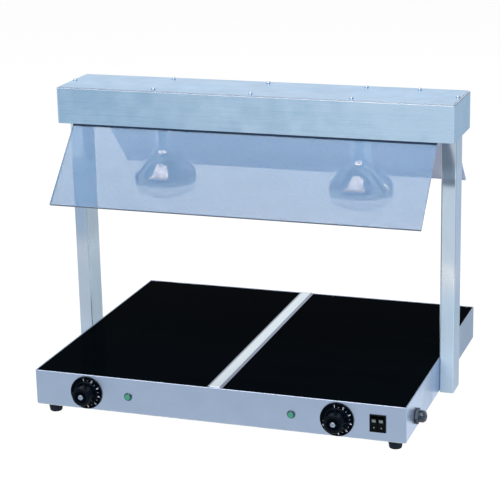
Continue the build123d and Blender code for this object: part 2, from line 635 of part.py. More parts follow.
# Guards hang at a slant; a place on one is given by its distance up the slope and out of its face
UP = Vector(0, sin(radians(GUARD_TILT)), cos(radians(GUARD_TILT)))
OUT = Vector(0, -cos(radians(GUARD_TILT)), sin(radians(GUARD_TILT)))
RUBBER = GUARD_T / 2 + GASKET_T
GUARD_TOP = Vector(0, RUBBER / cos(radians(GUARD_TILT)) + GASKET_GAP - CANOPY_IN_Y, CANOPY_Z)


def on_guard(up, out):
    """Point of the front guard's section, as (y, z)."""
    place = GUARD_TOP + UP * up + OUT * out
    return (place.Y, place.Z)


def on_guard_at(z, out):
    """Point of the front guard's section at a height."""
    return on_guard((z - GUARD_TOP.Z - OUT.Z * out) / UP.Z, out)


def front_and_rear(node, solid):
    keep(f"{node}_front", solid)
    keep(f"{node}_rear", mirror(solid, Plane.XZ))


face = GUARD_T / 2
steel = RUBBER + CANOPY_SHEET
guard_end = GUARD_GRIP + GASKET_T
channel_end = guard_end + CANOPY_SHEET
floor_half_l = WALL_X - FLOOR_END_GAP
front_and_rear(
    "guard",
    section_x(
        [
            on_guard(-GUARD_SLANT, face),
            on_guard(GUARD_GRIP, face),
            on_guard(GUARD_GRIP, -face),
            on_guard(-GUARD_SLANT, -face),
        ],
        BASE_W,
    ),
)
front_and_rear(
    "guard_gasket",
    section_x(
        [
            on_guard(-GASKET_SHOW, RUBBER),
            on_guard(guard_end, RUBBER),
            on_guard(guard_end, -RUBBER),
            on_guard(-GASKET_SHOW, -RUBBER),
            on_guard(-GASKET_SHOW, -face),
            on_guard(GUARD_GRIP, -face),
            on_guard(GUARD_GRIP, face),
            on_guard(-GASKET_SHOW, face),
        ],
        2 * floor_half_l,
    ),
)

# Canopy floor: its long edges are folded into channels that grip the guards' rubber
floor_front = [
    on_guard_at(FLOOR_TOP, -steel),
    on_guard(channel_end, -steel),
    on_guard(channel_end, steel),
    on_guard(CHANNEL_LIP, steel),
    on_guard(CHANNEL_LIP, RUBBER),
    on_guard(guard_end, RUBBER),
    on_guard(guard_end, -RUBBER),
    on_guard_at(FLOOR_Z, -RUBBER),
]
floor = section_x([*floor_front, *[(-y, z) for y, z in reversed(floor_front)]], 2 * floor_half_l)
lamp_out_x = WALL_X - LAMP_IN_X
lamp_places = (-lamp_out_x, lamp_out_x)
for lamp_x in lamp_places:
    floor -= rod((lamp_x, 0, FLOOR_Z), (lamp_x, 0, FLOOR_TOP), NECK_R + NECK_HOLE_GAP)
for bolt_x in (-canopy_bolt_x, canopy_bolt_x):
    floor -= rod((bolt_x, 0, FLOOR_Z), (bolt_x, 0, FLOOR_TOP), POST_BOLT_R + BOLT_GAP)
keep("canopy_floor", floor)

# Brackets welded to the posts, each bolted through the floor and the end tab
canopy_bolts = []
bracket_y = (BRACKET_SIDE - POST_D / 2, POST_D / 2 - BRACKET_SIDE)
bracket_foot_z = (FLOOR_TOP, FLOOR_TOP + CANOPY_SHEET)
for side in SIDES:
    hand = mirrored(side)
    post_face = hand * WALL_X
    upright_x = (post_face - hand * CANOPY_SHEET, post_face)
    bracket = block(upright_x, bracket_y, (FLOOR_TOP, post_z[1] - BRACKET_TOP_GAP))
    bracket += block((hand * (canopy_bolt_x - BRACKET_EDGE), post_face), bracket_y, bracket_foot_z)
    bolt_x = hand * canopy_bolt_x
    shank = rod((bolt_x, 0, CANOPY_Z), (bolt_x, 0, CANOPY_Z + POST_BOLT_L), POST_BOLT_R)
    keep(f"post_bracket_{side}", bracket - shank)
    head = hex_bar((bolt_x, 0, CANOPY_Z - POST_BOLT_HEAD_T), (bolt_x, 0, CANOPY_Z), POST_BOLT_HEAD)
    canopy_bolts.append(head + shank)
keep("canopy_bolts", *canopy_bolts)

# Reflector lamps: a bell with a flared neck and a shallow clear face, on a screw cap in a ceramic holder
flare = radians(FLARE_ANGLE)
lamp_low = CANOPY_Z - LAMP_DROP
band_low = lamp_low + LAMP_WAIST
band_top = band_low + LAMP_BAND
brow = (LAMP_R - SHOULDER_R * (1 - cos(flare)), band_top + SHOULDER_R * sin(flare))
cone_l = (brow[0] - NECK_R - FLARE_R * (1 - cos(flare))) / sin(flare)
cone_top = (brow[0] - cone_l * sin(flare), brow[1] + cone_l * cos(flare))
neck_foot = (NECK_R, cone_top[1] + FLARE_R * sin(flare))
chin = CenterArc((LAMP_R - CHIN_R, band_low), CHIN_R, -FACE_ANGLE, FACE_ANGLE)
lamp_outline = Curve() + [
    TangentArc((0, lamp_low), chin @ 0, tangent=(1, 0)),
    chin,
    Line((LAMP_R, band_low), (LAMP_R, band_top)),
    CenterArc((LAMP_R - SHOULDER_R, band_top), SHOULDER_R, 0, FLARE_ANGLE),
    Line(brow, cone_top),
    CenterArc((NECK_R + FLARE_R, neck_foot[1]), FLARE_R, 180, FLARE_ANGLE),
    Polyline(
        neck_foot,
        (NECK_R, FLOOR_TOP - CAP_TAPER),
        (CAP_R, FLOOR_TOP),
        (CAP_R, FLOOR_TOP + CAP_L),
        (0, FLOOR_TOP + CAP_L),
        (0, lamp_low),
    ),
]
bore_r = CAP_R + HOLDER_GAP
bore_end = CAP_L + HOLDER_GAP
holder_r = bore_r + HOLDER_WALL
holder_flange_r = NECK_R + NECK_HOLE_GAP + HOLDER_SEAT
holder_h = bore_end + HOLDER_TOP
holder_outline = [
    (bore_r, 0),
    (holder_flange_r, 0),
    (holder_flange_r, HOLDER_FLANGE_T),
    (holder_r, HOLDER_FLANGE_T),
    (holder_r, holder_h),
    (0, holder_h),
    (0, bore_end),
    (bore_r, bore_end),
]
keep("lamp_bulbs", *[turned(lamp_outline, (x, 0, 0), (0, 0, 1)) for x in lamp_places])
keep("lamp_holders", *[turned_points(holder_outline, (x, 0, FLOOR_TOP), (0, 0, 1)) for x in lamp_places])
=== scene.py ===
import math

import bmesh
import bpy
from mathutils import Matrix, Vector


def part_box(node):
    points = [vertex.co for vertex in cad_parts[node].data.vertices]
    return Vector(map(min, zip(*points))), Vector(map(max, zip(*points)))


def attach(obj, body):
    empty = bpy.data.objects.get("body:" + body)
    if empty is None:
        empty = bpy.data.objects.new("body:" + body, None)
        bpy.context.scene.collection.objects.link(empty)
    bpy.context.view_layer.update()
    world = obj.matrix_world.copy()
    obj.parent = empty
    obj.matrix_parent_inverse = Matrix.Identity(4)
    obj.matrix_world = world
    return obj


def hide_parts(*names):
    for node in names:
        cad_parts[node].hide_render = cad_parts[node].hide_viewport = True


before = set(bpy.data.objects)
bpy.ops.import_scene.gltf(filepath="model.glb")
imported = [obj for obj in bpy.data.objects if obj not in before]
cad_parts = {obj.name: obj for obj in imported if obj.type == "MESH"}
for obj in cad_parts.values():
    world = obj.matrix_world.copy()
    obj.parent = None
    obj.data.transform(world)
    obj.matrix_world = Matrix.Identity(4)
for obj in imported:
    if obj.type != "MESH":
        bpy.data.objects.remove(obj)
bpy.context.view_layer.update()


# Base housing: a low box folded from one sheet of satin brushed stainless steel. Its upper edge is hemmed
# into a thin rim round the hot plates, with a ledge inside for the glass, and its lower edge turns in as a
# flange. The holes for the controls, the mains entry and the post bolts are punched.
SIDES = ("left", "right")
BASE_SHEET = 0.0012
BASE_CORNER = 0.003
BASE_BEND = 0.002
LEDGE_Z = 0.0857
LEDGE = 0.014
FLANGE = 0.012
CONTROL_Z = 0.055
PANEL_Y = -0.285
KNOB_X = {"left": -0.261, "right": 0.238}
PILOT_X = (-0.175, 0.150)
SWITCH_X = 0.315
GLAND_AT = Vector((0.368, -0.210, 0.047))
POST_BOLT_YZ = ((-0.0045, 0.0395), (0.0345, 0.0735))
KNOB_HOLE_R = 0.0052
PILOT_HOLE_R = 0.0071
SWITCH_HOLE = Vector((0.0282, 0.008, 0.0308))
GLAND_HOLE_R = 0.0102
BOLT_HOLE_R = 0.0032
PUNCH_REACH = 0.004
BASE_BRUSH = ((6.0, 6.0, 900.0), (0.24, 0.38))
# Where a band of painted light lies along the side walls, beside the posts, and how far it reaches.
PAINTED_BAND_Y = -0.025
PAINTED_BAND_REACH = 0.0556


class Wire:
    """A shader socket: sums on wires add Math nodes, and node() puts any other node beside it."""

    def __init__(self, socket):
        self.socket = socket

    def feed(self, sockets):
        """Give the node behind this wire its values and links."""
        for name, value in sockets.items():
            entry = self.socket.node.inputs[name]
            if isinstance(value, Wire):
                self.socket.id_data.links.new(value.socket, entry)
            else:
                entry.default_value = value
        return self

    def node(self, kind, settings, sockets, out=0):
        """Add a node of a type: its settings first, then the values or links of its sockets."""
        added = self.socket.id_data.nodes.new("ShaderNode" + kind)
        for name, value in settings.items():
            setattr(added, name, value)
        return Wire(added.outputs[out]).feed(sockets)

    def sum(self, operation, first, second):
        """Add a Math node on two values or wires."""
        return self.node("Math", {"operation": operation}, {0: first, 1: second})

    def __add__(self, other):
        return self.sum("ADD", self, other)

    __radd__ = __add__

    def __sub__(self, other):
        return self.sum("SUBTRACT", self, other)

    def __rsub__(self, other):
        return self.sum("SUBTRACT", other, self)

    def __mul__(self, other):
        return self.sum("MULTIPLY", self, other)

    __rmul__ = __mul__

    def __pow__(self, other):
        return self.sum("POWER", self, other)

    def __rpow__(self, other):
        return self.sum("POWER", other, self)

    def __gt__(self, other):
        return self.sum("GREATER_THAN", self, other)

    def __lt__(self, other):
        return self.sum("LESS_THAN", self, other)

    def __abs__(self):
        return self.node("Math", {"operation": "ABSOLUTE"}, {0: self})

    def at_least(self, other):
        return self.sum("MAXIMUM", self, other)

    def at_most(self, other):
        return self.sum("MINIMUM", self, other)

    def eased(self, low, high):
        """0 below one value and 1 above another, with a smooth step between them."""
        step = {"Value": self, "From Min": low, "From Max": high}
        return self.node("MapRange", {"interpolation_type": "SMOOTHSTEP"}, step)

    def tint(self, low, high):
        """Colour between two colours, each written out or a wire, by this wire from 0 to 1."""
        ends = [end if isinstance(end, Wire) else (*end, 1) for end in (low, high)]
        return self.node("Mix", {"data_type": "RGBA"}, {0: self, 6: ends[0], 7: ends[1]}, 2)

    def bump(self, depth, strength):
        """Surface normal over this wire as a height."""
        return self.node("Bump", {}, {"Height": self, "Distance": depth, "Strength": strength})


def finish(name, constants):
    """A new finish, and its shader with the values that are the same all over."""
    made = bpy.data.materials.new(name)
    made.use_nodes = True
    shader = Wire(made.node_tree.nodes["Principled BSDF"].outputs[0])
    return made, shader.feed(constants)


def placed(shader, axis=None):
    """Where a point of the piece lies in metres: all of its place, or one coordinate of it."""
    place = shader.node("TexCoord", {}, {}, "Object")
    return shader.node("SeparateXYZ", {}, {"Vector": place}, axis) if axis else place


def grain(shader, stretch, detail=3.0):
    """Noise in the piece's own metres, with so many changes per metre along each axis."""
    stretched = shader.node("VectorMath", {"operation": "MULTIPLY"}, {0: placed(shader), 1: stretch})
    return shader.node("TexNoise", {}, {"Vector": stretched, "Scale": 1.0, "Detail": detail})


def brushed_steel(name, dark, light, lines, gloss, painted_slope=(0, 0, 0), mottle=1.0, painted_band=0.0):
    """Satin sheet: brush lines over clouds, a tone that may slope across it and a band that may be lifted,
    both painted light.
    """
    made, shader = finish(name, {"Metallic": 1.0, "Anisotropic": 0.3})
    brush = grain(shader, lines)
    clouds = grain(shader, (24.0, 24.0, 24.0), 4.0)
    # Painted light: the tone may slope lighter towards one side of the sheet and be lifted in a band.
    slope = {0: placed(shader), 1: painted_slope}
    across = shader.node("VectorMath", {"operation": "DOT_PRODUCT"}, slope, "Value")
    tone = (brush * 0.8 + clouds * 1.4 - 1.1) * mottle + across + 0.5
    if painted_band:
        beside = (placed(shader, "Y") - PAINTED_BAND_Y) * (1 / PAINTED_BAND_REACH)
        tone = tone + (1 - beside**2.0).at_least(0.0) * painted_band
    shader.feed(
        {
            "Base Color": tone.tint(dark, light),
            "Roughness": gloss[0] + brush * (gloss[1] - gloss[0]),
            "Normal": brush.bump(0.00002, 0.4),
        }
    )
    return made


def arc(centre, radius, start, stop, steps=5):
    """Points along a bend of a section, by its start and stop angle in degrees."""
    angles = [math.radians(start + (stop - start) * step / steps) for step in range(steps + 1)]
    return [(centre[0] + radius * math.cos(turn), centre[1] + radius * math.sin(turn)) for turn in angles]


def folded_ring(shape, low, high, corner, section, steps=6):
    """Sheet folded round a rectangle: a closed section of (inset, height) points carried round it."""
    middle = (low + high) / 2
    half = (high - low) / 2
    rings = []
    for turn, (hand_x, hand_y) in enumerate(((1, 1), (-1, 1), (-1, -1), (1, -1))):
        for step in range(steps + 1):
            angle = math.radians(90 * (turn + step / steps))
            ring = []
            for inset, height in section:
                reach = corner - inset
                aim = (math.cos(angle), math.sin(angle)) if reach > 0 else (hand_x, hand_y)
                x = middle.x + hand_x * (half.x - corner) + reach * aim[0]
                y = middle.y + hand_y * (half.y - corner) + reach * aim[1]
                ring.append(shape.verts.new((x, y, height)))
            rings.append(ring)
    for near, far in zip(rings, rings[1:] + rings[:1]):
        for spot in range(len(section)):
            after = (spot + 1) % len(section)
            shape.faces.new((near[spot], far[spot], far[after], near[after]))
    bmesh.ops.remove_doubles(shape, verts=shape.verts[:], dist=1e-6)


def turned(shape, profile, origin, along, segments):
    """A form of revolution from (radius, height) points, with height running along an axis."""
    put = Matrix.Translation(origin) @ Vector(along).to_track_quat("Z", "Y").to_matrix().to_4x4()
    rings = []
    for radius, height in profile:
        spots = segments if radius > 0 else 1
        turns = [2 * math.pi * spot / spots for spot in range(spots)]
        ring = [(radius * math.cos(turn), radius * math.sin(turn), height) for turn in turns]
        rings.append([shape.verts.new(put @ Vector(point)) for point in ring])
    if profile[0] == profile[-1]:
        bmesh.ops.delete(shape, geom=rings[-1], context="VERTS")
        rings[-1] = rings[0]
    for near, far in zip(rings, rings[1:]):
        for spot in range(segments):
            after = (spot + 1) % segments
            corners = [near[spot % len(near)], near[after % len(near)]]
            corners += [far[after % len(far)], far[spot % len(far)]]
            shape.faces.new(list(dict.fromkeys(corners)))


def pin(shape, radius, reach, middle, along, segments):
    """A round pin that reaches as far to either side of its middle."""
    turned(shape, [(0, -reach), (radius, -reach), (radius, reach), (0, reach)], middle, along, segments)


def slab(shape, low, high, rounding, steps=3):
    """A plate or block between two corners, with rounded edges."""
    low, high = Vector(low), Vector(high)
    put = Matrix.Translation((low + high) / 2) @ Matrix.Diagonal((*(high - low), 1))
    verts = bmesh.ops.create_cube(shape, size=1, matrix=put)["verts"]
    edges = list(dict.fromkeys(edge for vert in verts for edge in vert.link_edges))
    if rounding:
        bmesh.ops.bevel(shape, geom=edges, offset=rounding, segments=steps, profile=0.5, affect="EDGES")


def settle(name, shape, made, punches=None):
    """Make a shape a piece of the object in its finish, with the punches cut out of it."""
    bmesh.ops.recalc_face_normals(shape, faces=shape.faces[:])
    mesh = bpy.data.meshes.new(name)
    shape.to_mesh(mesh)
    shape.free()
    piece = bpy.data.objects.new(name, mesh)
    bpy.context.scene.collection.objects.link(piece)
    if punches:
        tool = settle("punches", punches, made)
        cut = piece.modifiers.new("Punched", "BOOLEAN")
        cut.object = tool
        graph = bpy.context.evaluated_depsgraph_get()
        piece.data = bpy.data.meshes.new_from_object(piece.evaluated_get(graph))
        piece.modifiers.clear()
        bpy.data.objects.remove(tool)
    piece.data.materials.clear()
    piece.data.materials.append(made)
    piece.data.shade_smooth()
    piece.data.set_sharp_from_angle(angle=math.radians(40))
    piece.modifiers.new("Flat faces", "WEIGHTED_NORMAL").keep_sharp = True
    return piece


base_low, base_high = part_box("base_housing")
flange_end = BASE_SHEET + FLANGE
base_section = [(flange_end, base_low.z)]
base_section += arc((BASE_BEND, base_low.z + BASE_BEND), BASE_BEND, 270, 180)
base_section += arc((BASE_SHEET, base_high.z - BASE_SHEET), BASE_SHEET, 180, 0, 8)
base_section += [(2 * BASE_SHEET, LEDGE_Z), (2 * BASE_SHEET + LEDGE, LEDGE_Z)]
base_section += [(2 * BASE_SHEET + LEDGE, LEDGE_Z - BASE_SHEET), (BASE_SHEET, LEDGE_Z - BASE_SHEET)]
base_section += arc((BASE_BEND, base_low.z + BASE_BEND), BASE_BEND - BASE_SHEET, 180, 270)
base_section += [(flange_end, base_low.z + BASE_SHEET)]
base_shape = bmesh.new()
folded_ring(base_shape, base_low, base_high, BASE_CORNER, base_section)
base_punches = bmesh.new()
panel_holes = [(KNOB_X[side], KNOB_HOLE_R) for side in SIDES] + [(x, PILOT_HOLE_R) for x in PILOT_X]
for x, radius in panel_holes:
    pin(base_punches, radius, PUNCH_REACH, (x, PANEL_Y, CONTROL_Z), (0, -1, 0), 32)
switch_middle = Vector((SWITCH_X, PANEL_Y, CONTROL_Z))
slab(base_punches, switch_middle - SWITCH_HOLE / 2, switch_middle + SWITCH_HOLE / 2, 0)
pin(base_punches, GLAND_HOLE_R, PUNCH_REACH, GLAND_AT, (1, 0, 0), 32)
for hand in (-1, 1):
    for y, z in POST_BOLT_YZ:
        pin(base_punches, BOLT_HOLE_R, PUNCH_REACH, (hand * base_high.x, y, z), (1, 0, 0), 24)
base_steel = brushed_steel(
    "satin steel of the base", (0.27, 0.345, 0.465), (0.314, 0.397, 0.529), *BASE_BRUSH, mottle=0.7
)
# The side walls get their own copy of the base steel with painted light: darker towards the rear and lighter
# in a band beside the posts.
wall_steel = brushed_steel(
    "satin steel of the side walls",
    (0.09, 0.19, 0.335),
    (0.38, 0.50, 0.69),
    *BASE_BRUSH,
    painted_slope=(0, -2.2, 0),
    mottle=0.3,
    painted_band=0.7,
)
base_housing = settle("base_box", base_shape, base_steel, base_punches)
base_housing.data.materials.append(wall_steel)
for face in base_housing.data.polygons:
    face.material_index = int(abs(face.normal.x) > 0.9)
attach(base_housing, "warmer")
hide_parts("base_housing")


# Bottom cover: a plain zinc-coated plate with two banks of air slots, screwed up under the housing's flange.
# The crystals of the zinc show as pale and dark flakes.
def zinc_sheet(name, dark, light):
    """Galvanised sheet: flakes of zinc with their own tone and gloss."""
    made, shader = finish(name, {"Metallic": 1.0})
    flakes = shader.node("TexVoronoi", {}, {"Vector": placed(shader), "Scale": 90.0}, "Color")
    tone = shader.node("SeparateColor", {}, {"Color": flakes}, "Red")
    specks = grain(shader, (400.0, 400.0, 400.0))
    shader.feed(
        {
            "Base Color": tone.tint(dark, light),
            "Roughness": 0.32 + tone * 0.2,
            "Normal": specks.bump(0.00003, 0.3),
        }
    )
    return made


def dress(made, *names):
    """Give CAD nodes whose shape is right a finish."""
    for name in names:
        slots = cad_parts[name].data.materials
        slots.clear()
        slots.append(made)


inner_zinc = zinc_sheet("zinc-coated sheet", (0.36, 0.40, 0.45), (0.56, 0.60, 0.65))
dress(inner_zinc, "bottom_cover")


# Feet: four tapered black rubber feet with a moulded ring on the tread. A barbed stem on each is pushed
# through a hole in the bottom cover.
FOOT_PLACES = [(x, y) for x in (-0.341, 0.341) for y in (-0.2565, 0.2865)]


def rubber(name, colour, bloom):
    """Moulded black rubber: dull, fine grained, with a pale bloom in patches."""
    made, shader = finish(name, {"Specular IOR Level": 0.08})
    pores = grain(shader, (900.0, 900.0, 900.0))
    patches = grain(shader, (60.0, 60.0, 60.0))
    shader.feed(
        {
            "Base Color": (patches * 0.7 + pores * 0.3).tint(colour, bloom),
            "Roughness": 0.5 + pores * 0.25,
            "Normal": pores.bump(0.00006, 0.4),
        }
    )
    return made


foot_profile = [(0, 0.001), (0.0076, 0.001), (0.0084, 0), (0.0094, 0)]
foot_profile += arc((0.0094, 0.0026), 0.0026, 270, 352)
foot_profile += [(0.0144, 0.0172), (0.0152, 0.0176)]
foot_profile += arc((0.0144, 0.02), 0.0008, 0, 90)
foot_profile += [(0.003, 0.0208), (0.003, 0.022), (0.0042, 0.022), (0.003, 0.026), (0, 0.026)]
feet_shape = bmesh.new()
for x, y in FOOT_PLACES:
    turned(feet_shape, foot_profile, (x, y, 0), (0, 0, 1), 48)
black_rubber = rubber("black rubber", (0.005, 0.008, 0.013), (0.014, 0.02, 0.03))
feet = settle("rubber_feet", feet_shape, black_rubber)
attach(feet, "warmer")
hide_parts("feet")


# Heaters: resistance ribbon wound on mica cards, pressed against the glass by a white fibre mat in a zinc
# pan. A folded rail under the middle carries the inner edges of both glass plates.
mica, mica_shader = finish("mica card", {"Specular IOR Level": 0.6})
mica_flakes = mica_shader.node("TexVoronoi", {}, {"Vector": placed(mica_shader), "Scale": 160.0})
mica_patches = grain(mica_shader, (45.0, 45.0, 45.0))
mica_shader.feed(
    {
        "Base Color": (mica_flakes * 0.5 + mica_patches * 0.6).tint((0.22, 0.16, 0.10), (0.52, 0.44, 0.32)),
        "Roughness": 0.3 + mica_flakes * 0.4,
        "Normal": mica_flakes.bump(0.0001, 0.4),
    }
)
fibre, fibre_shader = finish("ceramic fibre mat", {"Sheen Weight": 0.2})
fibre_strands = grain(fibre_shader, (1200.0, 300.0, 900.0), 5.0)
fibre_lumps = grain(fibre_shader, (70.0, 70.0, 70.0))
fibre_shader.feed(
    {
        "Base Color": (fibre_strands * 0.5 + fibre_lumps * 0.5).tint((0.55, 0.53, 0.49), (0.84, 0.83, 0.80)),
        "Roughness": 0.85 + fibre_strands * 0.1,
        "Normal": fibre_strands.bump(0.0005, 0.6),
    }
)
for side in SIDES:
    dress(mica, f"heater_{side}")
    dress(fibre, f"insulation_mat_{side}")
    dress(inner_zinc, f"heater_pan_{side}")
dress(inner_zinc, "centre_rail")


# Hot plates: two panes of black glass ceramic with ground and polished edges, laid flush in the rim on the
# ledge and the rail.
GLASS_EDGE = 0.0008
black_glass, black_glass_shader = finish("black glass ceramic", {"Specular IOR Level": 0.0004})
black_glass_wipes = grain(black_glass_shader, (3.0, 28.0, 28.0))
black_glass_dust = grain(black_glass_shader, (700.0, 700.0, 700.0))
black_glass_shader.feed(
    {
        "Base Color": (black_glass_wipes * 0.7 + black_glass_dust * 0.3).tint(
            (0.0004, 0.001, 0.002), (0.0012, 0.003, 0.0045)
        ),
        "Roughness": 0.03 + black_glass_wipes * 0.09,
    }
)
for side in SIDES:
    plate_shape = bmesh.new()
    slab(plate_shape, *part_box(f"glass_plate_{side}"), GLASS_EDGE)
    plate = settle(f"hot_plate_{side}", plate_shape, black_glass)
    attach(plate, "warmer")
    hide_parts(f"glass_plate_{side}")


# Centre strip: a rolled cover strip of bright steel over the joint between the panes, with both long edges
# sloped down to the glass. Its web drops between the panes onto the rail.
def softened(name, node, rounding, made, steps=3):
    """A CAD node's own form with its sharp edges rounded, as they are after rolling or folding."""
    shape = bmesh.new()
    shape.from_mesh(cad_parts[node].data)
    bmesh.ops.remove_doubles(shape, verts=shape.verts[:], dist=1e-6)
    bmesh.ops.dissolve_limit(shape, angle_limit=math.radians(1), verts=shape.verts[:], edges=shape.edges[:])
    sharp = [edge for edge in shape.edges if edge.calc_face_angle(0) > math.radians(30)]
    bmesh.ops.bevel(
        shape, geom=sharp, offset=rounding, segments=steps, profile=0.5, affect="EDGES", clamp_overlap=True
    )
    piece = settle(name, shape, made)
    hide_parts(node)
    return piece


STRIP_FLAT = 0.0095
STRIP_EDGE = 0.0006
strip_steel, strip_shader = finish("bright strip steel", {"Metallic": 1.0})
strip_brush = grain(strip_shader, (700.0, 5.0, 700.0))
# The sloped edges get a darker copy of the strip's colour: painted shade where they turn away from the light.
strip_slope = abs(placed(strip_shader, "X")) > STRIP_FLAT
strip_flat_tone = strip_brush.tint((0.62, 0.72, 0.78), (0.76, 0.86, 0.92))
strip_slope_painted_shade = strip_brush.tint((0.20, 0.22, 0.31), (0.30, 0.35, 0.47))
strip_shader.feed(
    {
        "Base Color": strip_slope.tint(strip_flat_tone, strip_slope_painted_shade),
        "Roughness": 0.22 + strip_brush * 0.14,
        "Normal": strip_brush.bump(0.00002, 0.4),
    }
)
strip = softened("cover_strip", "centre_strip", STRIP_EDGE, strip_steel)
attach(strip, "warmer")


# Energy regulators: brown moulded boxes with tin tabs behind the panel, each held by a plated nut on its
# threaded bush, with a plated spindle through it.
def moulded(name, dark, light, gloss, shine=0.5, glint=(1, 1, 1)):
    """Moulded plastic: fine spark-eroded texture, faint flow marks, slightly uneven gloss."""
    made, shader = finish(name, {"Specular IOR Level": shine, "Specular Tint": (*glint, 1)})
    texture = grain(shader, (1500.0, 1500.0, 1500.0), 2.0)
    flow = grain(shader, (30.0, 30.0, 80.0))
    shader.feed(
        {
            "Base Color": (texture * 0.4 + flow * 0.6).tint(dark, light),
            "Roughness": gloss + flow * 0.14,
            "Normal": texture.bump(0.00004, 0.25),
        }
    )
    return made


def plated(name, dark, light, gloss):
    """Nickel plate: bright, with faint turning lines and tarnish in patches."""
    made, shader = finish(name, {"Metallic": 1.0})
    rings = grain(shader, (2500.0, 900.0, 2500.0), 2.0)
    tarnish = grain(shader, (140.0, 140.0, 140.0))
    shader.feed(
        {
            "Base Color": (rings * 0.4 + tarnish * 0.6).tint(dark, light),
            "Roughness": gloss + tarnish * 0.14,
            "Normal": rings.bump(0.00001, 0.3),
        }
    )
    return made


regulator_plastic = moulded("brown phenolic", (0.05, 0.025, 0.015), (0.10, 0.055, 0.03), 0.4)
nickel = plated("nickel plate", (0.52, 0.58, 0.64), (0.76, 0.82, 0.88), 0.14)
for side in SIDES:
    dress(regulator_plastic, f"regulator_{side}")
    dress(nickel, f"regulator_spindle_{side}")
dress(nickel, "regulator_nuts")


# Knobs: moulded in black phenolic, with a flat numbered skirt, a tapered hub that fingers keep bright and a
# hollow foot. Each is pushed on the spindle's flat and held by a plated slotted screw. The numerals and
# dots are pad-printed in white.
KNOB_BACK_Y = PANEL_Y - 0.001
KNOB_HOLLOW = (0.0106, 0.0065)
NUMERAL_R = 0.0268
NUMERAL_SIZE = 0.0066
NUMERAL_START = -8.0
NUMERAL_STEP = 36.0
NUMERAL_COUNT = 8
DOT_R = 0.0006
DOT_IN = 0.0012
PRINT_T = 0.00012
PRINT_SPREAD = 0.018
SKIRT_H = 0.003
HUB_R = (0.0125, 0.0236)
KNOB_H = 0.0275
SLOT_HALF = Vector((0.006, 0.0011, 0.001))
SLOT_AT = Vector((0, -0.0015, -0.0002))
COOL_GLINT = (0.62, 0.80, 1.0)
knob_profile = [(0, KNOB_HOLLOW[1]), (KNOB_HOLLOW[0], KNOB_HOLLOW[1]), (KNOB_HOLLOW[0], 0), (0.0312, 0)]
knob_profile += arc((0.0312, 0.0008), 0.0008, 270, 360)
knob_profile += arc((0.0311, 0.0021), 0.0009, 0, 90)
knob_profile += [(0.0238, SKIRT_H)]
knob_profile += arc((0.0238, SKIRT_H + 0.0024), 0.0024, 270, 192)
knob_profile += [(0.0205, 0.009), (0.0193, 0.0165), (0.0184, 0.0225)]
knob_profile += arc((0.0159, 0.0252), 0.0023, 12, 90, 7)
knob_profile += [(0.0122, KNOB_H)]
knob_profile += arc((0.0122, 0.0269), 0.0006, 90, 170, 3)
knob_profile += [(0.0108, 0.0262), (0.0056, 0.0262), (0.0056, 0.0266), (0, 0.0266)]
screw_profile = [(0, -0.008), (0.002, -0.008), (0.002, -0.0009), (0.005, -0.0009), (0.005, 0.0004)]
screw_profile += arc((0.0039, 0.0004), 0.0011, 0, 75) + [(0.0018, 0.0014), (0, 0.0015)]
knob_black = moulded("black phenolic", (0.0003, 0.0008, 0.002), (0.001, 0.0025, 0.0055), 0.14, 0.012)
hub_black = moulded(
    "phenolic rubbed bright", (0.0003, 0.0008, 0.002), (0.001, 0.0025, 0.0055), 0.12, 0.08, glint=COOL_GLINT
)
print_white = moulded("white print", (0.42, 0.47, 0.55), (0.62, 0.68, 0.76), 0.45)
worn_plate = plated("worn plate", (0.16, 0.21, 0.28), (0.30, 0.37, 0.48), 0.3)


def lettered(shape, words, size, put):
    """Printed characters on the plane of a matrix, centred on it."""
    line = bpy.data.curves.new("print", "FONT")
    line.body = words
    line.size = size
    line.align_x = "CENTER"
    line.align_y = "CENTER"
    line.extrude = PRINT_T / 2
    line.offset = size * PRINT_SPREAD
    line.resolution_u = 3
    holder = bpy.data.objects.new("print", line)
    mesh = bpy.data.meshes.new_from_object(holder)
    mesh.transform(put)
    shape.from_mesh(mesh)
    bpy.data.objects.remove(holder)
    bpy.data.meshes.remove(mesh)


for side in SIDES:
    knob_at = Vector((KNOB_X[side], KNOB_BACK_Y, CONTROL_Z))
    knob_shape = bmesh.new()
    turned(knob_shape, knob_profile, knob_at, (0, -1, 0), 96)
    knob = settle(f"dial_{side}", knob_shape, knob_black)
    knob.data.materials.append(hub_black)
    for face in knob.data.polygons:
        off_axis = Vector((face.center.x - knob_at.x, face.center.z - knob_at.z)).length
        face.material_index = int(HUB_R[0] < off_axis < HUB_R[1] and face.center.y < KNOB_BACK_Y - SKIRT_H)
    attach(knob, f"knob_{side}")
    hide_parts(f"knob_{side}")
    print_shape = bmesh.new()
    for step in range(2 * NUMERAL_COUNT):
        turn = math.radians(NUMERAL_START + NUMERAL_STEP * step / 2)
        right = Vector((math.cos(turn), 0, -math.sin(turn)))
        up = Vector((math.sin(turn), 0, math.cos(turn)))
        out = Vector((0, -1, 0))
        spot = knob_at + up * NUMERAL_R + out * (SKIRT_H + PRINT_T / 2)
        if step % 2:
            pin(print_shape, DOT_R, PRINT_T, spot - up * DOT_IN, out, 12)
        else:
            put = Matrix.Translation(spot) @ Matrix((right, up, out)).transposed().to_4x4()
            lettered(print_shape, str(step // 2 + 1), NUMERAL_SIZE, put)
    knob_print = settle(f"dial_numerals_{side}", print_shape, print_white)
    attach(knob_print, f"knob_{side}")
    screw_shape = bmesh.new()
    screw_at = knob_at + Vector((0, -KNOB_H, 0))
    turned(screw_shape, screw_profile, screw_at, (0, -1, 0), 48)
    slot_shape = bmesh.new()
    slot_middle = screw_at + SLOT_AT
    slab(slot_shape, slot_middle - SLOT_HALF, slot_middle + SLOT_HALF, 0)
    knob_screw = settle(f"dial_screw_{side}", screw_shape, worn_plate, slot_shape)
    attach(knob_screw, f"knob_{side}")
    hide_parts(f"knob_screw_{side}")
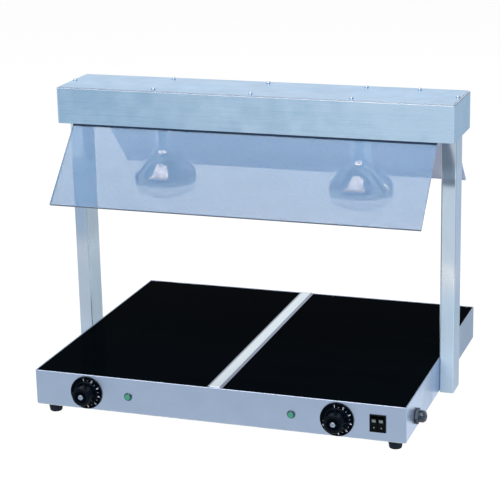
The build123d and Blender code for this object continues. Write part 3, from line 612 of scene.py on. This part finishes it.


# Pilot lamps: a green moulded lens with painted shade on its rounded edge, in a bezel of darkened plate whose
# barrel is pushed through the panel and held behind.
pilot_profile = [(0, -0.024), (0.0069, -0.024), (0.0069, 0), (0.0082, 0), (0.0082, 0.0006)]
pilot_profile += arc((0.0076, 0.0006), 0.0006, 0, 90) + [(0.0073, 0.0012), (0.0071, 0.0009), (0, 0.0009)]
lens_profile = [(0, 0.0009), (0.007, 0.0009), (0.007, 0.0026)]
lens_profile += arc((0.0048, 0.0026), 0.0022, 0, 70, 6) + [(0.0034, 0.0047), (0, 0.0048)]


def lens_plastic(name, dark, light):
    """Tinted clear plastic with a slightly uneven depth of colour."""
    made, shader = finish(name, {"Transmission Weight": 0.2, "Specular IOR Level": 0.25})
    depth = grain(shader, (260.0, 260.0, 260.0))
    shader.feed(
        {
            "Base Color": depth.tint(dark, light),
            "Roughness": 0.1 + depth * 0.1,
            "Normal": depth.bump(0.0001, 0.2),
        }
    )
    return made


dark_plate = plated("darkened plate", (0.07, 0.12, 0.13), (0.15, 0.22, 0.24), 0.25)
pilot_shape = bmesh.new()
lens_shape = bmesh.new()
for x in PILOT_X:
    turned(pilot_shape, pilot_profile, (x, PANEL_Y, CONTROL_Z), (0, -1, 0), 48)
    turned(lens_shape, lens_profile, (x, PANEL_Y, CONTROL_Z), (0, -1, 0), 48)
pilots = settle("pilot_bezels", pilot_shape, dark_plate)
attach(pilots, "warmer")
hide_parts("pilot_bodies")
lens_green = lens_plastic("green lens", (0.02, 0.20, 0.135), (0.08, 0.37, 0.275))
# The lens's side and rounded edge get a darker copy of the lens colour: painted shade.
lens_side_shade = lens_plastic("lens edge painted in shade", (0.012, 0.055, 0.06), (0.03, 0.10, 0.105))
lenses = settle("pilot_green_lenses", lens_shape, lens_green)
lenses.data.materials.append(lens_side_shade)
for face in lenses.data.polygons:
    face.material_index = int(abs(face.normal.y) < 0.9)
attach(lenses, "warmer")
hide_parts("pilot_lenses")


# Switch: a snap-in black case with a rounded bezel and two rockers side by side, each with a pale printed
# panel on its upper half and a dot on its lower half.
SWITCH_EDGE = 0.0005
ROCKER_X = {"left": 0.30825, "right": 0.32175}
ROCKER_VALLEY = (-0.28665, 0.0544)
ROCKER_LEAN = math.radians(20)
MARK_LOW = (-0.0036, -PRINT_T, 0.0036)
MARK_HIGH = (0.0036, PRINT_T, 0.0098)
MARK_EDGE = 0.0001
ROCKER_DOT_R = 0.0013
ROCKER_DOT_AT = Vector((0, 0, -0.0075))
switch_black = moulded("black switch plastic", (0.0006, 0.001, 0.0015), (0.0015, 0.0035, 0.0035), 0.2, 0.05)
rocker_print = moulded("worn pale print", (0.10, 0.14, 0.155), (0.19, 0.24, 0.26), 0.45)
case = softened("switch_housing", "switch_case", SWITCH_EDGE, switch_black)
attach(case, "warmer")
for side in SIDES:
    rocker = softened(f"switch_rocker_{side}", f"rocker_{side}", SWITCH_EDGE, switch_black)
    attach(rocker, f"rocker_{side}")
    valley = Matrix.Translation((ROCKER_X[side], *ROCKER_VALLEY))
    upper_face = valley @ Matrix.Rotation(ROCKER_LEAN, 4, "X")
    mark_shape = bmesh.new()
    slab(mark_shape, MARK_LOW, MARK_HIGH, MARK_EDGE, 1)
    bmesh.ops.transform(mark_shape, matrix=upper_face, verts=mark_shape.verts[:])
    pin(mark_shape, ROCKER_DOT_R, PRINT_T, valley @ ROCKER_DOT_AT, (0, -1, 0), 24)
    mark = settle(f"switch_marks_{side}", mark_shape, rocker_print)
    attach(mark, f"rocker_{side}")


# Mains entry: a cable gland of dark moulded plastic through the right wall, with a hexagon foot and a domed
# clamping nut, and the terminal block inside it on the bottom cover.
GLAND_HEX_R = 0.01559
GLAND_BORE_R = 0.004
GLAND_RIBS = 8
RIB_LOW = (0.0072, -0.0011, 0.0104)
RIB_HIGH = (0.0148, 0.0011, 0.0119)
RIB_EDGE = 0.0004
gland_grey = moulded(
    "dark gland plastic", (0.010, 0.014, 0.020), (0.028, 0.035, 0.046), 0.08, 0.6, glint=COOL_GLINT
)
gland_shape = bmesh.new()
gland_hex = [(GLAND_BORE_R, 0), (0.0142, 0), (GLAND_HEX_R, 0.0011), (GLAND_HEX_R, 0.0059), (0.0142, 0.007)]
gland_hex += [(GLAND_BORE_R, 0.007), (GLAND_BORE_R, 0)]
turned(gland_shape, gland_hex, GLAND_AT, (1, 0, 0), 6)
gland_dome = [(GLAND_BORE_R, -0.010), (0.010, -0.010), (0.010, 0.0068), (0.0112, 0.0069)]
gland_dome += arc((0.0035, 0.0125), 0.008, 0, 62, 7)
gland_dome += [(0.006, 0.02), (GLAND_BORE_R, 0.0199), (GLAND_BORE_R, -0.010)]
turned(gland_shape, gland_dome, GLAND_AT, (1, 0, 0), 48)
for rib in range(GLAND_RIBS):
    rib_turn = Matrix.Rotation(2 * math.pi * rib / GLAND_RIBS, 4, "X")
    rib_from = len(gland_shape.verts)
    slab(gland_shape, RIB_LOW, RIB_HIGH, RIB_EDGE, 2)
    gland_shape.verts.ensure_lookup_table()
    rib_verts = gland_shape.verts[rib_from:]
    bmesh.ops.transform(gland_shape, matrix=Matrix.Translation(GLAND_AT) @ rib_turn, verts=rib_verts)
gland = settle("cable_gland", gland_shape, gland_grey)
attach(gland, "warmer")
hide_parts("cord_gland")
dress(regulator_plastic, "terminal_block")


# Posts: rectangular channels folded from polished stainless sheet, bolted to the outside of the side walls
# and closed inside by a clipped-in cover strip, whose edge is painted dark with shadow near the foot. Wiping
# round the hot plates has dulled the feet. Each post and face has its own tones of painted light and shade,
# with painted shadow at the top of the right post and painted light at the top of the left.
POST_EDGE = 0.0003
POST_STRIP_EDGE = 0.0001
POLISH_Z = (0.20, 0.30)
PAINTED_TOP_Z = (0.4465, 0.4525)
PAINTED_TOP_DARKEST_Z = (0.455, 0.480)
SEAM_SHADOW_Z = (0.125, 0.185)
# Tones of painted light and shade for each post and face: the top tones paint a shadow under the canopy on
# the right post and light on the left, and the side and strip faces get lighter or darker painted copies.
POST_TOP_PAINTED = {
    "left": ((0.90, 0.85, 0.78), (1.0, 0.95, 0.87)),
    "right": ((0.60, 0.58, 0.55), (1.0, 0.97, 0.92)),
    "side": ((0.44, 0.445, 0.45), (0.52, 0.54, 0.57)),
    "strip": ((0.64, 0.62, 0.59), (0.80, 0.77, 0.73)),
}
POLISHED_PAINTED_TONES = {
    "left": ((0.475, 0.52, 0.555), (0.58, 0.615, 0.65)),
    "right": ((0.78, 0.76, 0.72), (0.90, 0.87, 0.83)),
    "side": ((0.465, 0.485, 0.515), (0.545, 0.565, 0.595)),
    "strip": ((0.235, 0.31, 0.39), (0.31, 0.40, 0.48)),
}
DULL_PAINTED_TONES = {
    "left": ((0.315, 0.39, 0.48), (0.38, 0.465, 0.555)),
    "right": ((0.345, 0.45, 0.555), (0.43, 0.545, 0.66)),
    "side": ((0.238, 0.325, 0.43), (0.295, 0.392, 0.498)),
    "strip": ((0.60, 0.77, 0.95), (0.71, 0.88, 1.0)),
}


def polished_steel(face):
    """Polished sheet with fine upright lines, dulled below one height, in tones of painted light and shade
    for each face, with painted light and shade above another height.
    """
    made, shader = finish(f"polished steel of the {face}", {"Anisotropic": 0.2})
    lines = grain(shader, (500.0, 500.0, 4.0))
    clouds = grain(shader, (30.0, 30.0, 14.0), 4.0)
    tone = lines * 0.6 + clouds * 1.2 - 0.4
    height = placed(shader, "Z")
    polish = height.eased(*POLISH_Z)
    clean = polish.tint(tone.tint(*DULL_PAINTED_TONES[face]), tone.tint(*POLISHED_PAINTED_TONES[face]))
    painted_top = (tone * 0.3 + 0.85 - height.eased(*PAINTED_TOP_DARKEST_Z) * 0.75).tint(*POST_TOP_PAINTED[face])
    shader.feed(
        {
            "Base Color": height.eased(*PAINTED_TOP_Z).tint(clean, painted_top),
            "Metallic": 0.1 + polish * 0.9,
            "Roughness": 0.44 - polish * 0.34 + lines * 0.06,
            "Normal": lines.bump(0.00001, 0.3),
        }
    )
    return made


side_polish = polished_steel("side")
strip_polish = polished_steel("strip")
# The cover strips' front edge faces are painted dark as a shadow below a height, and in a lighter tone above
# it.
cover_edge_shade, seam_shader = finish("cut edge of the cover strips", {"Specular IOR Level": 0.1})
seam_specks = grain(seam_shader, (500.0, 500.0, 60.0))
seam_above_shadow = placed(seam_shader, "Z").eased(*SEAM_SHADOW_Z)
seam_painted_shadow = seam_specks.tint((0.012, 0.012, 0.014), (0.05, 0.052, 0.06))
seam_unshaded_tone = seam_specks.tint((0.36, 0.44, 0.52), (0.46, 0.54, 0.62))
seam_shader.feed({"Base Color": seam_above_shadow.tint(seam_painted_shadow, seam_unshaded_tone), "Roughness": 0.6})
for side in SIDES:
    post = softened(f"channel_post_{side}", f"post_{side}", POST_EDGE, polished_steel(side), 2)
    post.data.materials.append(side_polish)
    for face in post.data.polygons:
        face.material_index = int(abs(face.normal.x) > 0.7)
    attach(post, "warmer")
    post_cover = softened(f"post_strip_{side}", f"post_cover_{side}", POST_STRIP_EDGE, strip_polish, 2)
    post_cover.data.materials.append(cover_edge_shade)
    for face in post_cover.data.polygons:
        face.material_index = int(abs(face.normal.y) > 0.9)
    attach(post_cover, "warmer")
    dress(inner_zinc, f"post_bracket_{side}")
dress(nickel, "post_bolts", "canopy_bolts")


# Canopy body: four walls folded from satin brushed stainless sheet, with a rounded bend into the flange that
# carries the lid and a tab round each post at the ends. Its corners carry a painted highlight, its ends and
# bends painted shade, and its tone is painted lighter towards the right end.
CANOPY_SHEET = 0.0015
CANOPY_CORNER = 0.003
CANOPY_BEND = 0.0016
LID_FLANGE = 0.032
TAB_INNER_X = 0.3455
TAB_HALF_Y = 0.0385
POST_HOLE_X = 0.3675
POST_HOLE_HALF_Y = 0.027
TAB_EDGE = 0.0003
ARM_LAP = 0.0004
WALL_LAP = 0.0002
CUT_BREAK = 0.0004
CANOPY_LINES = (5.0, 5.0, 800.0)
CANOPY_GLOSS = (0.22, 0.34)
canopy_low, canopy_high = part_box("canopy_body")
canopy_mid_y = (canopy_low.y + canopy_high.y) / 2
bend_at = (CANOPY_BEND, canopy_high.z - CANOPY_BEND)
canopy_section = [(0, canopy_low.z + CUT_BREAK), *arc(bend_at, CANOPY_BEND, 180, 90, 6)]
canopy_section += [(CANOPY_SHEET + LID_FLANGE, canopy_high.z)]
canopy_section += [(CANOPY_SHEET + LID_FLANGE, canopy_high.z - CANOPY_SHEET)]
canopy_section += arc(bend_at, CANOPY_BEND - CANOPY_SHEET, 90, 180, 4)
canopy_section += [(CANOPY_SHEET, canopy_low.z + CUT_BREAK), (CANOPY_SHEET - CUT_BREAK, canopy_low.z)]
canopy_section += [(CUT_BREAK, canopy_low.z)]
canopy_shape = bmesh.new()
folded_ring(canopy_shape, canopy_low, canopy_high, CANOPY_CORNER, canopy_section)
tab_z = (canopy_low.z, canopy_low.z + CANOPY_SHEET)
wall_in = canopy_high.x - CANOPY_SHEET
for hand in (-1, 1):
    tab_x = sorted((hand * TAB_INNER_X, hand * POST_HOLE_X))
    slab(
        canopy_shape,
        (tab_x[0], canopy_mid_y - TAB_HALF_Y, tab_z[0]),
        (tab_x[1], canopy_mid_y + TAB_HALF_Y, tab_z[1]),
        TAB_EDGE,
    )
    for hand_y in (-1, 1):
        arm_x = sorted((hand * (POST_HOLE_X - ARM_LAP), hand * (wall_in + WALL_LAP)))
        arm_y = sorted((canopy_mid_y + hand_y * POST_HOLE_HALF_Y, canopy_mid_y + hand_y * TAB_HALF_Y))
        slab(canopy_shape, (arm_x[0], arm_y[0], tab_z[0]), (arm_x[1], arm_y[1], tab_z[1]), TAB_EDGE)
# Painted light: the canopy's tone slopes lighter towards its right end.
canopy_steel = brushed_steel(
    "satin steel of the canopy",
    (0.44, 0.565, 0.64),
    (0.675, 0.765, 0.80),
    CANOPY_LINES,
    CANOPY_GLOSS,
    painted_slope=(1.4, 0, 0),
)
# Lit and shaded copies of the canopy steel, by face: a painted highlight on the corners, painted shade on the
# ends and the bends.
corner_painted_highlight = brushed_steel(
    "steel with a painted highlight at the corners", (0.66, 0.72, 0.80), (0.80, 0.86, 0.93), CANOPY_LINES, (0.2, 0.3)
)
end_painted_shade = brushed_steel(
    "satin steel painted in shade at the ends", (0.35, 0.46, 0.53), (0.48, 0.58, 0.63), CANOPY_LINES, CANOPY_GLOSS
)
bend_painted_shade = brushed_steel(
    "steel painted in shade on the bends", (0.12, 0.165, 0.22), (0.17, 0.225, 0.295), CANOPY_LINES, (0.3, 0.4)
)
canopy = settle("canopy_box", canopy_shape, canopy_steel)
canopy_finishes = (canopy_steel, corner_painted_highlight, end_painted_shade, bend_painted_shade)
for steel in canopy_finishes[1:]:
    canopy.data.materials.append(steel)
for face in canopy.data.polygons:
    lengthwise, crosswise, upward = (abs(axis) for axis in face.normal)
    if 0.2 < upward < 0.98:
        face.material_index = canopy_finishes.index(bend_painted_shade)
    elif lengthwise > 0.9:
        face.material_index = canopy_finishes.index(end_painted_shade)
    elif min(lengthwise, crosswise) > 0.2:
        face.material_index = canopy_finishes.index(corner_painted_highlight)
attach(canopy, "warmer")
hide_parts("canopy_body")


# Canopy floor: one sheet whose long edges are folded into channels that grip the guards, with round holes
# for the lamp necks, bolted to the brackets on the posts.
floor_steel = brushed_steel(
    "mill finish of the floor", (0.44, 0.52, 0.60), (0.58, 0.66, 0.75), (4.0, 300.0, 300.0), (0.3, 0.45)
)
dress(floor_steel, "canopy_floor")


# Heat lamps: blown bell-shaped reflector bulbs, silvered thinner towards a clear domed face, with a glass
# stem, lead wires and a coiled filament inside, screwed into ceramic holders in the canopy.
LAMP_X = (-0.203, 0.203)
LAMP_LOW = 0.370
LAMP_R = 0.0625
LAMP_BAND = (0.405, 0.414)
SILVER_Z = (0.422, 0.432)
BELL_BOWS = ((0.025, 36.0), (0.280, 42.0), (0.025, 58.0))
NECK_R = 0.0205
CHIN_R = 0.025
FACE_ANGLE = 46.0
LAMP_GLASS_T = 0.0012
CAP_R = 0.013
CAP_FOOT = 0.529
CAP_TURNS = 7
CAP_PITCH = 0.003
CAP_THREAD = 0.001
COIL_Z = 0.437
COIL_HALF = 0.014
COIL_R = 0.0016
COIL_TURNS = 14
COIL_STEPS = 12
COIL_WIRE_R = 0.0003
LEAD_WIRE_R = 0.0004
LEAD_ROUTE = ((0.002, 0.02), (0.004, 0.009), (0.0125, 0.003), (0.0138, 0.0014))
bell_profile = [(LAMP_R, LAMP_BAND[0]), (LAMP_R, LAMP_BAND[1])]
bell_lean = 0.0
for radius, stop in BELL_BOWS:
    bow_middle = arc(bell_profile[-1], -radius, bell_lean, bell_lean, 1)[0]
    bell_profile += arc(bow_middle, radius, bell_lean, stop, 8)[1:]
    bell_lean = stop
flare_r = (bell_profile[-1][0] - NECK_R) / (1 - math.cos(math.radians(bell_lean)))
neck_foot = bell_profile[-1][1] + flare_r * math.sin(math.radians(bell_lean))
bell_profile += arc((NECK_R + flare_r, neck_foot), flare_r, 180 + bell_lean, 180, 12)[1:]
bell_profile += [(NECK_R, 0.519), (0.0198, 0.523), (0.0165, 0.5285), (CAP_R, 0.531)]
chin_middle = (LAMP_R - CHIN_R, LAMP_BAND[0])
chin = arc(chin_middle, CHIN_R, -FACE_ANGLE, 0, 8)
chin_in = arc(chin_middle, CHIN_R - LAMP_GLASS_T, 0, -FACE_ANGLE, 8)
face_drop = chin[0][1] - LAMP_LOW
face_r = (chin[0][0] ** 2 + face_drop**2) / (2 * face_drop)
face_half = math.degrees(math.asin(chin[0][0] / face_r))
face_out = arc((0, LAMP_LOW + face_r), face_r, 270, 270 + face_half, 12)
face_in = arc((0, LAMP_LOW + face_r), face_r - LAMP_GLASS_T, 270 + face_half, 270, 12)
face_out[0] = (0, LAMP_LOW)
face_in[-1] = (0, LAMP_LOW + LAMP_GLASS_T)
face_profile = face_out[:-1] + chin + chin_in + face_in[1:]
stem_profile = [(0, 0.452), (0.0035, 0.4525), (0.0045, 0.455), (0.0045, 0.497), (0.007, 0.507)]
stem_profile += [(0.012, 0.517), (0.012, 0.519), (0, 0.519)]
cap_profile = [(0, CAP_FOOT), (CAP_R, CAP_FOOT)]
for thread in range(1, CAP_TURNS + 1):
    crest = CAP_FOOT + thread * CAP_PITCH
    cap_profile += [(CAP_R, crest), (CAP_R - CAP_THREAD, crest + CAP_PITCH / 2)]
cap_profile += [(0.008, 0.5545), (0.004, 0.557), (0, 0.557)]
mirror, mirror_shader = finish("silvered glass", {"Metallic": 1.0})
mirror_ripple = grain(mirror_shader, (40.0, 40.0, 60.0), 2.0)
silver = placed(mirror_shader, "Z").eased(*SILVER_Z)
silver_full = mirror_ripple.tint((0.92, 0.96, 0.97), (0.98, 0.99, 0.99))
silver_thin = mirror_ripple.tint((0.46, 0.42, 0.38), (0.54, 0.49, 0.45))
mirror_shader.feed(
    {
        "Base Color": silver.tint(silver_thin, silver_full),
        "Roughness": 0.03 + mirror_ripple * 0.05,
        "Normal": mirror_ripple.bump(0.0002, 0.15),
    }
)
clear, clear_shader = finish("clear lamp glass", {"IOR": 1.5})
clear_waves = grain(clear_shader, (30.0, 30.0, 30.0))
clear_rim = clear_shader.node("LayerWeight", {}, {"Blend": 0.5}, "Facing")
clear_shader.feed(
    {
        "Base Color": clear_waves.tint((0.25, 0.36, 0.48), (0.40, 0.50, 0.62)),
        "Roughness": 0.04 + clear_waves * 0.05,
        "Alpha": 0.03 + clear_waves * 0.05 + clear_rim**4.0 * 0.25,
    }
)
tungsten = plated("tungsten", (0.10, 0.10, 0.11), (0.18, 0.18, 0.19), 0.35)
dress(moulded("glazed ceramic", (0.62, 0.60, 0.56), (0.78, 0.77, 0.74), 0.25), "lamp_holders")


def drawn(shape, path, radius, across, spots=6):
    """Round wire along a path, given a direction that lies across all of it."""
    rings = []
    for before, point, after in zip(path[:1] + path[:-1], path, path[1:] + path[-1:]):
        second = (after - before).cross(across).normalized()
        turns = [2 * math.pi * spot / spots for spot in range(spots)]
        ring = [point + radius * (math.cos(turn) * across + math.sin(turn) * second) for turn in turns]
        rings.append([shape.verts.new(spot) for spot in ring])
    for near, far in zip(rings, rings[1:]):
        for spot in range(spots):
            after = (spot + 1) % spots
            shape.faces.new((near[spot], near[after], far[after], far[spot]))
    shape.faces.new(rings[0])
    shape.faces.new(rings[-1])


for side, x in zip(SIDES, LAMP_X):
    lamp_at = (x, canopy_mid_y, 0)
    bell_shape = bmesh.new()
    inner = [(radius - LAMP_GLASS_T, height) for radius, height in reversed(bell_profile)]
    turned(bell_shape, bell_profile + inner + bell_profile[:1], lamp_at, (0, 0, 1), 96)
    bell = settle(f"lamp_bell_{side}", bell_shape, mirror)
    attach(bell, "warmer")
    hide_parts("lamp_bulbs")
    face_shape = bmesh.new()
    turned(face_shape, face_profile, lamp_at, (0, 0, 1), 96)
    lamp_face = settle(f"lamp_face_{side}", face_shape, clear)
    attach(lamp_face, "warmer")
    stem_shape = bmesh.new()
    turned(stem_shape, stem_profile, lamp_at, (0, 0, 1), 24)
    stem = settle(f"lamp_stem_{side}", stem_shape, clear)
    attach(stem, "warmer")
    coil_shape = bmesh.new()
    coil_middle = Vector((x, canopy_mid_y, COIL_Z))
    coil = []
    for step in range(COIL_STEPS * COIL_TURNS + 1):
        turn = 2 * math.pi * step / COIL_STEPS
        run = COIL_HALF * (2 * step / (COIL_STEPS * COIL_TURNS) - 1)
        coil.append(coil_middle + Vector((run, COIL_R * math.sin(turn), COIL_R * math.cos(turn))))
    drawn(coil_shape, coil, COIL_WIRE_R, Vector((1, 0, 0)))
    for hand in (-1, 1):
        lead = [coil_middle + Vector((hand * reach, 0, rise)) for reach, rise in LEAD_ROUTE]
        drawn(coil_shape, lead, LEAD_WIRE_R, Vector((0, 1, 0)))
    filament = settle(f"lamp_filament_{side}", coil_shape, tungsten)
    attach(filament, "warmer")
    cap_shape = bmesh.new()
    turned(cap_shape, cap_profile, lamp_at, (0, 0, 1), 48)
    cap = settle(f"lamp_cap_{side}", cap_shape, nickel)
    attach(cap, "warmer")


# Guards: tilted panes of bluish clear plastic with sawn edges, hung by their upper edge in the floor's
# channels, where a black rubber strip grips them. The strip's inner leg is cut shorter than its outer one.
GUARD_TILT = math.radians(44)
GUARD_ROUND = 0.0006
PANE_AREA = 0.01
RUBBER_ROUND = 0.0002
INNER_LEG_CUT = 0.0048
INNER_LEG_END = 0.0015
GUARD_BODY = {"Subsurface Weight": 1.0, "Subsurface Radius": (1, 1, 1), "Subsurface Scale": 0.01}
# The rear guard's tint is lighter and bluer than the front's: painted light where the canopy shades it.
GUARD_TINTS = {
    "front": ((0.12, 0.24, 0.41), (0.285, 0.415, 0.59)),
    "rear": ((0.14, 0.28, 0.57), (0.33, 0.49, 0.84)),
}


def guard_sheet(name, dark, light):
    """Tinted clear plastic, painted paler towards its upper edge as painted light, with broad wiping marks.
    """
    made, shader = finish(name, {"Specular IOR Level": 0.15, **GUARD_BODY})
    wipes = grain(shader, (2.5, 6.0, 6.0))
    specks = grain(shader, (260.0, 260.0, 260.0), 2.0)
    # Painted light: the tone rises towards the upper edge.
    slope = {0: placed(shader), 1: (-0.1, 0, 2.5)}
    painted_rise = shader.node("VectorMath", {"operation": "DOT_PRODUCT"}, slope, "Value")
    shader.feed(
        {
            "Base Color": (painted_rise + wipes * 0.4 + specks * 0.3 - 1.0).tint(dark, light),
            "Roughness": 0.08 + wipes * 0.1,
            "Alpha": 0.485 + wipes * 0.08,
        }
    )
    return made


guard_edge = moulded("sawn guard edge", (0.08, 0.12, 0.19), (0.25, 0.32, 0.43), 0.35, 0.1)
strip_rubber = rubber("rubber of the strips", (0.003, 0.012, 0.03), (0.008, 0.026, 0.06))
for name, tints in GUARD_TINTS.items():
    guard_clear = guard_sheet(f"tinted {name} guard", *tints)
    guard = softened(f"guard_pane_{name}", f"guard_{name}", GUARD_ROUND, guard_clear, 2)
    guard.data.materials.append(guard_edge)
    for face in guard.data.polygons:
        face.material_index = int(name == "front" and face.area < PANE_AREA)
    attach(guard, "warmer")
    strip_piece = softened(f"guard_rubber_{name}", f"guard_gasket_{name}", RUBBER_ROUND, strip_rubber, 2)
    strip_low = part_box(f"guard_gasket_{name}")[0]
    inward = 1 if name == "front" else -1
    shortened = INNER_LEG_CUT * Vector((0, inward * math.sin(GUARD_TILT), math.cos(GUARD_TILT)))
    for vertex in strip_piece.data.vertices:
        if vertex.co.z < strip_low.z + INNER_LEG_END:
            vertex.co += shortened
    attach(strip_piece, "warmer")


# Lid: a flat satin steel plate on the canopy's flange, with its cut edges rounded and painted with shade,
# held by nine pan-head screws in satin plate.
LID_EDGE = 0.0006
PAN_HEAD_EDGE = 0.0009
lid_steel = brushed_steel(
    "satin steel of the lid", (0.305, 0.485, 0.68), (0.445, 0.645, 0.87), (5.0, 600.0, 600.0), (0.26, 0.40)
)
lid = softened("canopy_cover", "canopy_lid", LID_EDGE, lid_steel)
# The lid's edge faces are painted dark as the shadow line under its edge.
lid.data.materials.append(moulded("cut edge painted in shade", (0.22, 0.27, 0.35), (0.34, 0.40, 0.50), 0.5, 0.1))
for face in lid.data.polygons:
    face.material_index = int(abs(face.normal.z) < 0.4)
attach(lid, "warmer")
screw_plate = plated("satin plate", (0.36, 0.42, 0.50), (0.55, 0.62, 0.70), 0.3)
lid_screws = softened("pan_head_screws", "lid_screws", PAN_HEAD_EDGE, screw_plate)
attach(lid_screws, "warmer")


# Studio: a white floor and surround behind the object, a dim room behind the camera that the metal mirrors,
# soft boxes, and the camera where the photograph was taken from.
FLOOR_GLOW = (0.3, 0.94)
SURROUND_LIGHT = 0.15
scene = bpy.context.scene
scene.view_settings.view_transform = "Standard"
floor_mesh = bpy.data.meshes.new("studio_floor")
floor_outline = [(-1.0, -0.8), (0.9, -0.8), (0.9, 0.0), (0.62, 0.4), (0.3, 1.7)]
floor_outline += [(-1.2, 10.0), (-5.8, 10.0), (-1.2, 0.6)]
floor_mesh.from_pydata([(x, y, 0) for x, y in floor_outline], [], [range(len(floor_outline))])
floor = bpy.data.objects.new("studio_floor", floor_mesh)
scene.collection.objects.link(floor)
floor_white, floor_shader = finish("studio white", {"Base Color": (0.16, 0.16, 0.16, 1), "Roughness": 1.0})


def in_view(shader):
    """1 for what the camera sees, straight or in metal and glass, and 0 for light that falls on things."""
    kinds = ("Is Camera Ray", "Is Glossy Ray", "Is Transmission Ray")
    rays = [shader.node("LightPath", {}, {}, kind) for kind in kinds]
    seen = rays[0] + rays[1] + rays[2]
    return seen.at_most(1.0)


floor_shader.feed(
    {
        "Specular IOR Level": 0.0,
        "Emission Color": in_view(floor_shader).tint(*[(glow, glow, glow) for glow in FLOOR_GLOW]),
        "Emission Strength": 1.0,
    }
)
floor_mesh.materials.append(floor_white)

world = bpy.data.worlds.new("studio surround")
world.use_nodes = True
scene.world = world
surround = Wire(world.node_tree.nodes["Background"].outputs[0])
aim = surround.node("TexCoord", {}, {}, "Generated")
to_rear = surround.node("SeparateXYZ", {}, {"Vector": aim}, "Y").eased(0.0, 0.4)
to_sky = surround.node("SeparateXYZ", {}, {"Vector": aim}, "Z").eased(-0.05, 0.1)
backdrop = to_rear * to_sky
mirrored = surround.node("LightPath", {}, {}, "Is Glossy Ray")
room = backdrop.tint((0.58, 0.73, 0.92), (1, 1, 1))
surround_strength = SURROUND_LIGHT + (1 - SURROUND_LIGHT) * in_view(surround)
surround.feed({"Color": mirrored.tint((1, 1, 1), room), "Strength": surround_strength})

KEY_AIM = (0, -0.03, 0.43)
MIDDLE = (0, 0, 0.3)
for name, place, target, size, power, colour in (
    ("key_box", (-0.177, -2.56, 2.378), KEY_AIM, (4.48, 4.4), 195.0, (1, 1, 1)),
    ("window", (-0.53, -2.3, 4.19), (-0.53, 0, 4.19), (4.0, 5.83), 410.0, (1.28, 1.0, 0.82)),
    ("top_box", (0.3, 0.4, 3.2), MIDDLE, (2.4, 2.4), 10.0, (1, 1, 1)),
    ("rim_box", (2.2, 1.6, 1.9), MIDDLE, (0.45, 2.6), 6.0, (1, 1, 1)),
    ("side_fill", (2.6, -0.6, 0.9), (-0.37, 0, 0.2), (1.6, 1.6), 52.0, (1, 1, 1)),
):
    light = bpy.data.lights.new(name, "AREA")
    light.energy = power
    light.color = colour
    light.shape = "RECTANGLE"
    light.size, light.size_y = size
    soft_box = bpy.data.objects.new(name, light)
    soft_box.location = place
    soft_box.rotation_euler = (Vector(target) - Vector(place)).to_track_quat("-Z", "Y").to_euler()
    soft_box.visible_glossy = name not in ("key_box", "side_fill")
    soft_box.visible_diffuse = name != "window"
    scene.collection.objects.link(soft_box)

CAMERA_AT = (1.0416, -3.0753, 1.2349)
YAW, PITCH, ROLL = 0.3329, 0.2864, -0.0215
FOCAL_PIXELS = 1704.24
FRAME_PIXELS = 500
SENSOR_MM = 36.0
camera_data = bpy.data.cameras.new("camera")
camera_data.sensor_width = SENSOR_MM
camera_data.lens = SENSOR_MM * FOCAL_PIXELS / FRAME_PIXELS
forward = Vector((-math.sin(YAW) * math.cos(PITCH), math.cos(YAW) * math.cos(PITCH), -math.sin(PITCH)))
level = Vector((math.cos(YAW), math.sin(YAW), 0))
down = forward.cross(level)
right = math.cos(ROLL) * level - math.sin(ROLL) * down
up = -(math.sin(ROLL) * level + math.cos(ROLL) * down)
camera = bpy.data.objects.new("camera", camera_data)
camera.matrix_world = Matrix.Translation(CAMERA_AT) @ Matrix((right, up, -forward)).transposed().to_4x4()
scene.collection.objects.link(camera)
scene.camera = camera
